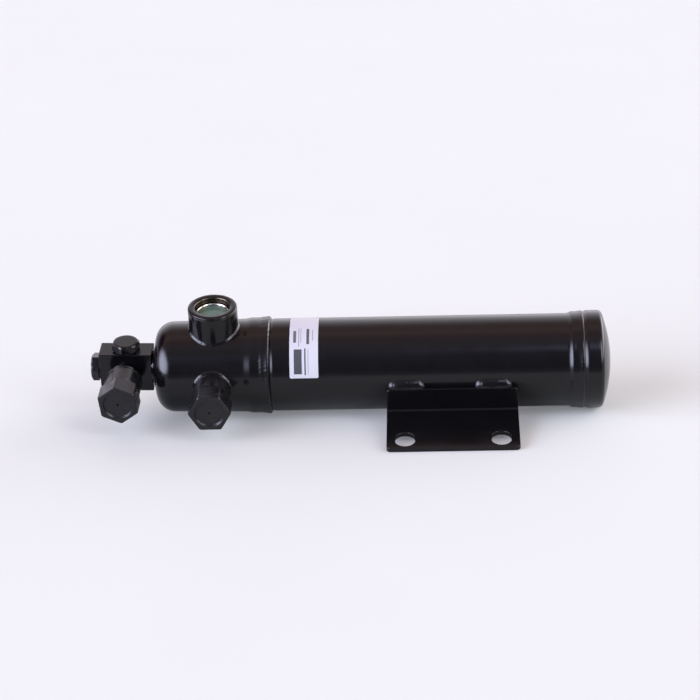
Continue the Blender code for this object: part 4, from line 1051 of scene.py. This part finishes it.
# %% Caps
CAP_LENGTH = 35.0
CAP_FLATS = 30.4
COLLAR_R = 15.1
CAP_CORNER_R = 17.4
CAP_BORE_R = 12.9


def cap_outline():
    """Collar, hexagon, dished face with its gate mark, and the bore for the thread."""
    corners = [
        (0.0, 14.5, 0.15),
        (0.0, COLLAR_R, 0.3),
        (16.0, COLLAR_R, 1.5),
        (18.6, CAP_CORNER_R, 1.2),
        (30.0, CAP_CORNER_R, 0),
        (CAP_LENGTH - 0.7, CAP_CORNER_R, 0.4),
        (CAP_LENGTH, CAP_CORNER_R - 0.7, 0.4),
        (CAP_LENGTH, 12.2, 0.35),
        (33.5, 11.3, 0.5),
        (33.5, 1.15, 0.1),
        (32.2, 0.95, 0),
        (32.2, 0.0, 0),
        (31.0, 0.0, 0),
        (31.0, CAP_BORE_R, 0.3),
        (3.0, CAP_BORE_R, 0),
        (3.0, 14.5, 0),
    ]
    rows = soften(corners, 5)
    dense = []
    for here, there in zip(rows, rows[1:] + rows[:1]):
        dense.append(here)
        if here[1] > 15 and there[1] > 15 and there[0] - here[0] > 1.0:
            parts = int((there[0] - here[0]) / 0.8)
            dense += [(here[0] + (there[0] - here[0]) * k / parts, here[1]) for k in range(1, parts)]
    return dense


def protective_cap(name, place, turned, node):
    """One moulded cap."""
    shape = spin(cap_outline(), hex_angles(turned), hex_reach(CAP_FLATS, turned, [(CAP_LENGTH, 0.5)]))
    finish_mesh(name, shape, place, PLASTIC, node, sharp=50, weigh=False)


protective_cap("port_cap_skin", forward(PORT_X, PORT_SEAT_P), 0.0, "port_cap")
protective_cap("outlet_cap_skin", ASKEW @ forward(BLOCK_MID_X, OUTLET_SEAT_P),
               math.radians(36.5), "outlet_cap")

# %% [markdown]
# ## Manifold block, neck and plugs
#
# The block is a length of cold drawn bar: flat faces, edges broken with a file, drilled crosswise. The
# drillings that nobody needs are closed with hexagonal plugs on bonded washers. A bead ties the block to
# the crown of the head.


# %% Block
def block_shape():
    """Bar with edges broken by 0.6 mm."""
    shape = bmesh.new()
    size = Matrix.Diagonal((BLOCK_X[1] - BLOCK_X[0], BLOCK_DEPTH, BLOCK_HEIGHT, 1))
    bmesh.ops.create_cube(shape, size=1.0, matrix=Matrix.Translation((BLOCK_MID_X, 0, 0)) @ size)
    bmesh.ops.bevel(shape, geom=shape.edges[:], offset=0.6, segments=4, affect="EDGES", profile=0.5)
    return shape


finish_mesh("block_skin", block_shape(), ASKEW, ENAMEL, "manifold_block", sharp=25)
neck_outline = soften([(-168.6, 6.6, 0), (-168.6, 9.0, 0.4), (-156.8, 9.0, 0.4), (-156.8, 6.6, 0)], 3)
finish_mesh("neck_tube", turn(neck_outline, 64), ASKEW, DRAWN_STEEL, "outlet_neck")


def neck_bead():
    """Bead round the neck, squeezed between the block's face and the crown."""
    crown = flowing([(-164.1, 12.2), (-163.15, 12.8), (-162.2, 13.4), (-161.15, 12.8), (-160.1, 12.2)], 4)
    ring_bead("neck_bead", crown, [(-160.3, 9.4), (-163.4, 9.4)], 240, "neck_weld",
              pitch=2.2, height=0.3, wobble=0.8, seed=21.0)


neck_bead()

# %% Plugs and their washers
PLUG_SEAT = 1.1
PLUG_TOP = 7.6
PLUG_CORNER_R = 11.9
PLUG_FLATS = 20.3
PLUG_THREAD_R = 6.8


def plug_piece(name, place, turned, node):
    """Hexagonal plug: chamfered head with a turned crown, on its washer."""
    corners = [
        (-7.5, 0.0, 0),
        (-7.5, PLUG_THREAD_R - 1.0, 0.2),
        (-6.5, PLUG_THREAD_R, 0.2),
        (PLUG_SEAT, PLUG_THREAD_R, 0),
        (PLUG_SEAT, PLUG_CORNER_R, 0.25),
        (4.0, PLUG_CORNER_R, 0),
        (PLUG_TOP - 1.5, PLUG_CORNER_R, 0.3),
        (PLUG_TOP - 0.3, 10.0, 0.3),
        (PLUG_TOP - 0.15, 9.4, 0.2),
        (PLUG_TOP, 8.6, 0.3),
        (PLUG_TOP, 0.0, 0),
    ]
    hexagon = hex_reach(PLUG_FLATS, turned, [(PLUG_SEAT, 0.4)], width=0.3)
    shape = spin(soften(corners, 4), hex_angles(turned), hexagon)
    finish_mesh(name, shape, place, ENAMEL, node, sharp=50)
    washer = ring_outline(GAP, GAP + 0.5, 7.1, 9.8, 0.15)
    finish_mesh(name + "_washer", turn(washer, 96), place, RUBBER, node + "_seal")


plug_piece("upper_plug", ASKEW @ upward(BLOCK_MID_X, BLOCK_HEIGHT / 2), math.radians(-10), "top_plug")
plug_piece("left_plug", ASKEW @ leftward(BLOCK_X[0]), math.radians(12), "end_plug")

# %% [markdown]
# ## Bracket
#
# The bracket is 4 mm plate folded once and punched twice. Its section is drawn as a line with true bends
# and pushed along X. The slots are cut by a boolean, and a small bevel breaks every sharp edge: on black
# paint those thin bright edge lines are what shows the plate at all.

# %% Bracket sizes
BRACKET_X = (29.8, 136.8)
SHEET = 4.0
BEND_R = 1.5
PLATE_TOP_Z = -20.2
PLATE_REACH = 97.0
SLOT_R = 8.0
SLOT_STRAIGHT = 3.5
SLOT_X = (44.7, 121.9)
SLOT_P = PLATE_REACH - 3.0 - SLOT_R


# %% Bracket
def bracket_section():
    """Folded section in the (forward, up) plane."""
    leg = TUBE_R + GAP
    centre = (leg + SHEET + BEND_R, PLATE_TOP_Z + BEND_R)
    front = [(leg + SHEET, 0.0)] + arc_points(centre, BEND_R, 180, 270, 8) + [(PLATE_REACH, PLATE_TOP_Z)]
    back = [(PLATE_REACH, PLATE_TOP_Z - SHEET)] + arc_points(centre, BEND_R + SHEET, 270, 180, 12)
    return front + back + [(leg, 0.0)]


def slot_rim(x):
    """Outline of one slot in the (along, forward) plane."""
    rim = []
    for centre_p, first in ((SLOT_P, 0.0), (SLOT_P - SLOT_STRAIGHT, math.pi)):
        for k in range(33):
            angle = first + math.pi * k / 32
            rim.append((x + SLOT_R * math.cos(angle), centre_p + SLOT_R * math.sin(angle)))
    return rim


def pushed(points, way):
    """Push a closed line of points straight along a way into a solid."""
    shape = bmesh.new()
    lid = shape.faces.new([shape.verts.new(point) for point in points])
    grown = bmesh.ops.extrude_face_region(shape, geom=[lid])["geom"]
    moved = [item for item in grown if isinstance(item, bmesh.types.BMVert)]
    bmesh.ops.translate(shape, verts=moved, vec=way)
    bmesh.ops.recalc_face_normals(shape, faces=shape.faces)
    return shape


def build_bracket():
    """Fold, round the front corners and the leg's top ones, punch the slots and break the edges."""
    start, end = BRACKET_X
    shape = pushed([(start, -p, z) for p, z in bracket_section()], (end - start, 0, 0))
    corners = [edge for edge in shape.edges
               if (all(abs(v.co.y + PLATE_REACH) < 1e-4 for v in edge.verts)
                   or all(abs(v.co.z) < 1e-4 for v in edge.verts))
               and abs(edge.verts[0].co.x - edge.verts[1].co.x) < 1e-4]
    bmesh.ops.bevel(shape, geom=corners, offset=3.5, segments=10, affect="EDGES", profile=0.5)
    bmesh.ops.recalc_face_normals(shape, faces=shape.faces)
    plate = in_scene("bracket_blank", as_mesh("bracket_blank", shape))
    punches = []
    for x in SLOT_X:
        punch = pushed([(px, -p, PLATE_TOP_Z - 2 * SHEET) for px, p in slot_rim(x)], (0, 0, 3 * SHEET))
        punches.append(in_scene("slot_tool", as_mesh("slot_tool", punch)))
        cut = plate.modifiers.new("slot", "BOOLEAN")
        cut.operation = "DIFFERENCE"
        cut.object = punches[-1]
        cut.solver = "EXACT"
    broken = plate.modifiers.new("broken_edge", "BEVEL")
    broken.width = 0.45
    broken.segments = 3
    broken.limit_method = "ANGLE"
    broken.angle_limit = math.radians(50)
    done = evaluated(plate)
    finished = bmesh.new()
    finished.from_mesh(done.to_mesh())
    done.to_mesh_clear()
    for thing in [plate] + punches:
        bpy.data.objects.remove(thing)
    finish_mesh("bracket_skin", finished, VESSEL_AXIS, ENAMEL,
                "mounting_bracket", sharp=30)


build_bracket()

# %% Stitch welds of the bracket
STITCH_LENGTH = 30.0
STITCH_HEIGHT = 6.6
STITCH_STATIONS = 80
STITCH_SHARES = (0.0, 0.0, 0.4, 1.0, 1.0, 0.7, 0.2, 0.0, 0.0)
BITE = 0.05


def loft(shape, rings):
    """Join closed rings into a solid with flat ends."""
    bridge(shape, rings)
    shape.faces.new(rings[0])
    shape.faces.new(rings[-1][::-1])


def on_tube(height, clear):
    """Point of the tube's front in the (forward, up) plane, clear of its surface by that much."""
    return (math.sqrt((TUBE_R + clear) ** 2 - height ** 2), height)


def stitch(name, start, node, seed):
    """Fillet between the leg's top edge and the tube: rounded ends, coarse ripples of a hand torch."""
    shape = bmesh.new()
    along, rise, rings = [], [], []
    for index in range(STITCH_STATIONS + 1):
        share = 0.5 - 0.5 * math.cos(math.pi * index / STITCH_STATIONS)
        size = max(0.16, math.sqrt(max(0.0, 1 - abs(2 * share - 1) ** 3.2)))
        top = BITE + STITCH_HEIGHT * size
        low = (on_tube(2 * BITE, BITE)[0], BITE)
        high = on_tube(top, 0.02)
        toe = (low[0] + (TUBE_R + GAP + SHEET - low[0] - 0.2) * size, BITE)
        ring = [low, toe]
        for k in range(1, 6):
            t = k / 6
            bulge = 0.9 * size * math.sin(math.pi * t)
            ring.append((toe[0] + (high[0] - toe[0]) * t + bulge * 0.8,
                         toe[1] + (high[1] - toe[1]) * t + bulge * 0.6))
        ring += [high, on_tube(top / 2, 0.02)]
        rings.append([shape.verts.new((start + STITCH_LENGTH * share, -p, z)) for p, z in ring])
        along += [STITCH_LENGTH * share] * len(ring)
        rise += [s * min(1.0, size * 1.1) for s in STITCH_SHARES]
    loft(shape, rings)
    bead_piece(name, shape, along, rise, node, pitch=2.6, height=0.14, wobble=0.5, seed=seed)


stitch("left_stitch", BRACKET_X[0] + 1.3, "bracket_weld_left", 2.0)
stitch("right_stitch", BRACKET_X[1] - 4.9 - STITCH_LENGTH, "bracket_weld_right", 9.0)

# %% [markdown]
# ## Sticker
#
# A coated paper sticker is wrapped over the front and top of the tube. Its print is generic: plain dark
# bars and thin grey rows. The bars are drawn by comparing the sticker's own UV map with a short list of
# boxes, so they follow the curve without any image.

# %% Sticker sizes
LABEL_X = (-48.3, -25.0)
LABEL_TURN = (math.radians(14.3), math.radians(126.0))
PRINT = (
    # across from, across to, round from, round to, colour, strength: shares of the sticker's own map
    (0.150, 0.430, 0.045, 0.320, "#101018", 0.90),
    (0.520, 0.565, 0.035, 0.330, "#16161E", 0.97),
    (0.635, 0.665, 0.045, 0.320, "#5A5A6A", 0.50),
    (0.130, 0.235, 0.400, 0.560, "#1C1816", 0.80),
    (0.310, 0.340, 0.355, 0.600, "#3E3A38", 0.60),
    (0.385, 0.410, 0.400, 0.600, "#3E3A38", 0.50),
    (0.590, 0.690, 0.380, 0.590, "#1C1816", 0.85),
    (0.790, 0.820, 0.420, 0.570, "#3E3A38", 0.55),
)


# %% Sticker paper
PAPER_TONES = ("#BCBCBF", "#C4C4C6")


def printed_paper():
    """Coated sticker paper: white with a cool cast, satin, with generic bars of faded ink."""
    material = new_material("coated_paper_printed", "#C0C0C3", 0.42, {"IOR": 1.45})
    grained(material, 0.9, 3.0, tones=PAPER_TONES, relief=(0.3, 0.02))
    tree = material.node_tree
    surface = tree.nodes["Principled BSDF"].inputs["Base Color"]
    colour = surface.links[0].from_socket
    own_map = add_node(tree, "ShaderNodeUVMap", {"uv_map": "wrap"})
    parts = add_node(tree, "ShaderNodeSeparateXYZ", None, {"Vector": own_map.outputs["UV"]})
    for left, right, low, high, ink, strength in PRINT:
        inside = []
        for axis, start, end in (("X", left, right), ("Y", low, high)):
            place = parts.outputs[axis]
            for operation, amount in (("SUBTRACT", (start + end) / 2), ("ABSOLUTE", 0.0),
                                      ("LESS_THAN", (end - start) / 2)):
                place = add_node(tree, "ShaderNodeMath", {"operation": operation},
                                 {0: place, 1: amount}).outputs[0]
            inside.append(place)
        share = inside[0]
        for amount in (inside[1], strength):
            share = add_node(tree, "ShaderNodeMath", {"operation": "MULTIPLY"},
                             {0: share, 1: amount}).outputs[0]
        printed = add_node(tree, "ShaderNodeMix", {"data_type": "RGBA"},
                           {"Factor": share, "A": colour, "B": linear(ink)})
        colour = printed.outputs["Result"]
    tree.links.new(colour, surface)
    return material


# %% Sticker
LABEL_ROWS = 64
LABEL_COLUMNS = 16
LABEL_CORNER = 1.2
LABEL_R = (TUBE_R + 0.04, TUBE_R + 0.19)


def build_label():
    """Curved sheet 0.15 mm thick with rounded corners and its own map."""
    shape = bmesh.new()
    layer = shape.loops.layers.uv.new("wrap")
    width = LABEL_X[1] - LABEL_X[0]
    turned = LABEL_TURN[1] - LABEL_TURN[0]
    places, rings = {}, []
    for i in range(LABEL_ROWS + 1):
        v = 0.5 - 0.5 * math.cos(math.pi * i / LABEL_ROWS)
        short = max(0.0, LABEL_CORNER - min(v, 1 - v) * turned * TUBE_R)
        inset = LABEL_CORNER - math.sqrt(max(0.0, LABEL_CORNER ** 2 - short ** 2))
        angle = LABEL_TURN[0] + turned * v
        ring = []
        for radius, columns in zip(LABEL_R, (range(LABEL_COLUMNS + 1), range(LABEL_COLUMNS, -1, -1))):
            for j in columns:
                x = LABEL_X[0] + inset + (width - 2 * inset) * j / LABEL_COLUMNS
                vert = shape.verts.new((x, -radius * math.cos(angle), radius * math.sin(angle)))
                places[vert] = ((x - LABEL_X[0]) / width, v)
                ring.append(vert)
        rings.append(ring)
    loft(shape, rings)
    for face in shape.faces:
        for loop in face.loops:
            loop[layer].uv = places[loop.vert]
    finish_mesh("sticker", shape, VESSEL_AXIS, printed_paper(), "label", sharp=60)


build_label()

# %% [markdown]
# ## Inside the vessel
#
# The solids inside already have the right shape, so they stay and only get their finishes. Assigning to
# the object's material slots leaves their meshes alone.

# %% Finishes of the inner solids
INNER = {
    "inlet_plate": SHEET_STEEL,
    "outlet_plate": SHEET_STEEL,
    "inlet_pad": FELT,
    "outlet_pad": FELT,
    "desiccant_charge": BEADS,
    "pickup_tube": DRAWN_STEEL,
    "strainer": GAUZE,
    "charge_spring": SPRING_STEEL,
}
for node_name, finish in INNER.items():
    solid = frame["nodes"][node_name]
    for place in solid.material_slots:
        place.link = "OBJECT"
        place.material = finish
    print("%-18s wears %s" % (node_name, finish.name))

# %% [markdown]
# ## Table
#
# The drier lies on a large sheet of matt white card that runs out of the picture on all sides. One flat
# sheet is enough, because the camera looks down at it everywhere in the frame.


# %% Table
TABLE_TONES = ("#C5C9C1", "#C9CDC5")
# painted shade on the card, seen only in the paint's mirror where the card leaves the light: from and to a
# place along Y in metres, and by what share
MIRROR_SHADE_FADES = ((-0.20, -0.35, 0.58), (0.03, -0.08, 0.23))
ROOM_FILL = 0.16
TABLE_HALF = 3.0


def table_card():
    """Matt card: white with a faint cool cast and no gloss to speak of."""
    room = {"Specular IOR Level": 0.15, "Emission Color": linear("#F0F0FA")}
    material = new_material("card_white_matt", "#C7CBC3", 0.7, room)
    grained(material, 260.0, 2.0, tones=TABLE_TONES)
    tree = material.node_tree
    shader = tree.nodes["Principled BSDF"].inputs
    path = add_node(tree, "ShaderNodeLightPath")
    coords = add_node(tree, "ShaderNodeTexCoord")
    parts = add_node(tree, "ShaderNodeSeparateXYZ", None, {"Vector": coords.outputs["Object"]})
    # what the paint mirrors: the card in front of the drier is darkened with painted shade where it runs
    # out of the light
    lost = []
    for start, end, share in MIRROR_SHADE_FADES:
        ends = {"Value": parts.outputs["Y"], "From Min": start, "From Max": end, "To Max": share}
        fade = add_node(tree, "ShaderNodeMapRange", {"interpolation_type": "SMOOTHSTEP"}, ends)
        lost.append(fade.outputs["Result"])
    dim = lost[0]
    for operation, amount in (("ADD", lost[1]), ("MULTIPLY", path.outputs["Is Glossy Ray"])):
        dim = add_node(tree, "ShaderNodeMath", {"operation": operation}, {0: dim, 1: amount}).outputs[0]
    bare = shader["Base Color"].links[0].from_socket
    shaded = add_node(tree, "ShaderNodeMix", {"data_type": "RGBA"},
                      {"Factor": dim, "A": bare, "B": linear("#000000")})
    tree.links.new(shaded.outputs["Result"], shader["Base Color"])
    # what the eye sees: the fill that a bright room gives a white card
    fill = add_node(tree, "ShaderNodeMath", {"operation": "MULTIPLY"},
                    {0: path.outputs["Is Camera Ray"], 1: ROOM_FILL})
    tree.links.new(fill.outputs[0], shader["Emission Strength"])
    return material


def build_table():
    """One flat sheet under the drier."""
    shape = bmesh.new()
    corners = ((-1, -1), (1, -1), (1, 1), (-1, 1))
    shape.faces.new([shape.verts.new((TABLE_HALF * x, TABLE_HALF * y, 0)) for x, y in corners])
    table = in_scene("table", as_mesh("table", shape))
    table.data.materials.append(table_card())


build_table()

# %% [markdown]
# ## Light
#
# Gloss black is a mirror, so the room is what gets drawn. The sky is a ramp from the front horizon over
# the top to the rear one, because that is how the tube, a long horizontal cylinder, reads it: each line
# along the tube mirrors one height of the room. Soft panels are added to it as round-edged glows with a
# direction and a width, which gives streaks that fade as a cloth diffuser's do.

# %% Room and panels
DOME = (
    # degrees from the front horizon over the top to the rear horizon, then red, green, blue
    (0, 0.10, 0.10, 0.11),
    (28, 0.12, 0.12, 0.15),
    (36, 0.14, 0.13, 0.18),
    (44, 0.20, 0.18, 0.22),
    (52, 0.21, 0.18, 0.18),
    (64, 0.36, 0.31, 0.34),
    (84, 0.44, 0.28, 0.30),
    (92, 0.50, 0.38, 0.36),
    (100, 0.72, 0.48, 0.42),
    (110, 0.55, 0.36, 0.34),
    (121, 0.50, 0.31, 0.27),
    (130, 0.60, 0.47, 0.46),
    (140, 0.92, 0.85, 0.95),
    (150, 1.20, 1.15, 1.25),
    (163, 1.50, 1.43, 1.56),
    (180, 1.50, 1.43, 1.56),
)
PANELS = (
    # direction round from behind the camera and up, width and height in degrees, radiance, colour
    (-62, 17, 34, 24, 10.5, "#DEE1FF"),
    (54, 30, 15, 24, 6.0, "#F2F2FF"),
    (112, 14, 38, 22, 4.2, "#F4F2F8"),
    (20, 50, 14, 9, 2.9, "#C8CCFF"),
    (-16, 38, 9, 14, 0.25, "#C8CCFF"),
    # a black flag to the left rear
    (-115, 10, 35, 35, -0.9, "#FFFFFF"),
)
# how square the edge of a panel's glow is: 1 is a bell, more is flatter with a steeper edge
PANEL_EDGE = 2.4
BACKGROUND = "#F0EDF3"


# %% World
def panel_glow(tree, directions, panel):
    """Light of one panel: its colour times a round-edged glow about its direction."""
    azimuth, elevation, wide, tall, radiance, colour = panel
    squares = []
    for place, centre, width in zip(directions, (azimuth, elevation), (wide, tall)):
        for operation, amount in (("SUBTRACT", math.radians(centre)), ("DIVIDE", math.radians(width)),
                                  ("POWER", 2.0)):
            place = add_node(tree, "ShaderNodeMath", {"operation": operation},
                             {0: place, 1: amount}).outputs[0]
        squares.append(place)
    glow = squares[0]
    for operation, amount in (("ADD", squares[1]), ("POWER", PANEL_EDGE), ("MULTIPLY", -1.0),
                              ("EXPONENT", 0.0)):
        glow = add_node(tree, "ShaderNodeMath", {"operation": operation}, {0: glow, 1: amount}).outputs[0]
    tint = [radiance * part for part in linear(colour)[:3]]
    lit = add_node(tree, "ShaderNodeVectorMath", {"operation": "SCALE"}, {"Vector": tint, "Scale": glow})
    return lit.outputs["Vector"]


def studio_world():
    """Ramp of the room plus the panels."""
    world = bpy.data.worlds.new("studio_room")
    bpy.context.scene.world = world
    world.use_nodes = True
    tree = world.node_tree
    coords = add_node(tree, "ShaderNodeTexCoord")
    parts = add_node(tree, "ShaderNodeSeparateXYZ", None, {"Vector": coords.outputs["Generated"]})
    x, y, z = (parts.outputs[axis] for axis in "XYZ")
    front = add_node(tree, "ShaderNodeMath", {"operation": "MULTIPLY"}, {0: y, 1: -1.0}).outputs[0]
    over = add_node(tree, "ShaderNodeMath", {"operation": "ARCTAN2"}, {0: z, 1: front})
    share = add_node(tree, "ShaderNodeMath", {"operation": "DIVIDE"}, {0: over.outputs[0], 1: math.pi})
    ramp = add_node(tree, "ShaderNodeValToRGB", None, {"Fac": share.outputs[0]})
    stops = ramp.color_ramp.elements
    stops[0].color = (*DOME[0][1:], 1)
    stops[1].color = (*DOME[-1][1:], 1)
    for degrees, red, green, blue in DOME[1:-1]:
        stops.new(degrees / 180).color = (red, green, blue, 1)
    azimuth = add_node(tree, "ShaderNodeMath", {"operation": "ARCTAN2"}, {0: x, 1: front}).outputs[0]
    elevation = add_node(tree, "ShaderNodeMath", {"operation": "ARCSINE"}, {0: z}).outputs[0]
    light = ramp.outputs["Color"]
    for panel in PANELS:
        light = add_node(tree, "ShaderNodeVectorMath", {"operation": "ADD"},
                         {0: light, 1: panel_glow(tree, (azimuth, elevation), panel)}).outputs["Vector"]
    # the flag takes light away, but never more than there is
    never_less = add_node(tree, "ShaderNodeVectorMath", {"operation": "MAXIMUM"},
                          {0: light, 1: (0.0, 0.0, 0.0)})
    lit = tree.nodes["Background"]
    tree.links.new(never_less.outputs["Vector"], lit.inputs["Color"])
    seen = add_node(tree, "ShaderNodeBackground", None, {"Color": linear(BACKGROUND), "Strength": 1.0})
    path = add_node(tree, "ShaderNodeLightPath")
    mixed = add_node(tree, "ShaderNodeMixShader", None, {
        0: path.outputs["Is Camera Ray"], 1: lit.outputs["Background"], 2: seen.outputs["Background"]})
    tree.links.new(mixed.outputs["Shader"], tree.nodes["World Output"].inputs["Surface"])


studio_world()
print("room with", len(PANELS), "panels")

# %% [markdown]
# ## Camera
#
# The photograph was matched in the drier's own frame: a long lens about 2.1 m away, looking down by 32
# degrees, which is 22 degrees above the table. The values below are the fitted ones.

# %% Camera
FOCAL_PX = 2517.8
LOOK_DOWN = math.radians(31.92)
DISTANCE = 2079.0
CAMERA_ROLL = math.radians(-2.323)
CAMERA_YAW = math.radians(-2.425)
TILT_PX = 14.64
CENTRE_PX = 348.5
IMAGE_PX = 700.0
SENSOR = 36.0


def set_camera():
    """Camera fitted to the photograph, worked out in the drier's own frame."""
    tilt = math.atan(TILT_PX / FOCAL_PX)
    unyaw = Matrix.Rotation(-CAMERA_YAW, 3, "Z")
    right = Vector((1, 0, 0))
    depth = Vector((0, math.cos(LOOK_DOWN), -math.sin(LOOK_DOWN)))
    rise = Vector((0, math.sin(LOOK_DOWN), math.cos(LOOK_DOWN)))
    look = depth * math.cos(tilt) + rise * math.sin(tilt)
    up = rise * math.cos(tilt) - depth * math.sin(tilt)
    level = right * math.cos(CAMERA_ROLL) + up * math.sin(CAMERA_ROLL)
    top = up * math.cos(CAMERA_ROLL) - right * math.sin(CAMERA_ROLL)
    turn_only = POSE.to_3x3() * (1 / MM) @ unyaw
    basis = Matrix((turn_only @ level, turn_only @ top, turn_only @ -look)).transposed()
    data = bpy.data.cameras.new("camera")
    data.sensor_width = SENSOR
    data.lens = SENSOR * FOCAL_PX / IMAGE_PX
    data.shift_y = (CENTRE_PX - IMAGE_PX / 2) / IMAGE_PX
    data.clip_end = 50.0
    camera = in_scene("camera", data)
    camera.matrix_world = Matrix.Translation(POSE @ (unyaw @ (-depth * DISTANCE))) @ basis.to_4x4()
    bpy.context.scene.camera = camera
    print("camera at", tuple(round(v, 3) for v in camera.location), "lens %.1f mm" % data.lens)


set_camera()
bpy.context.scene.view_settings.view_transform = "Standard"
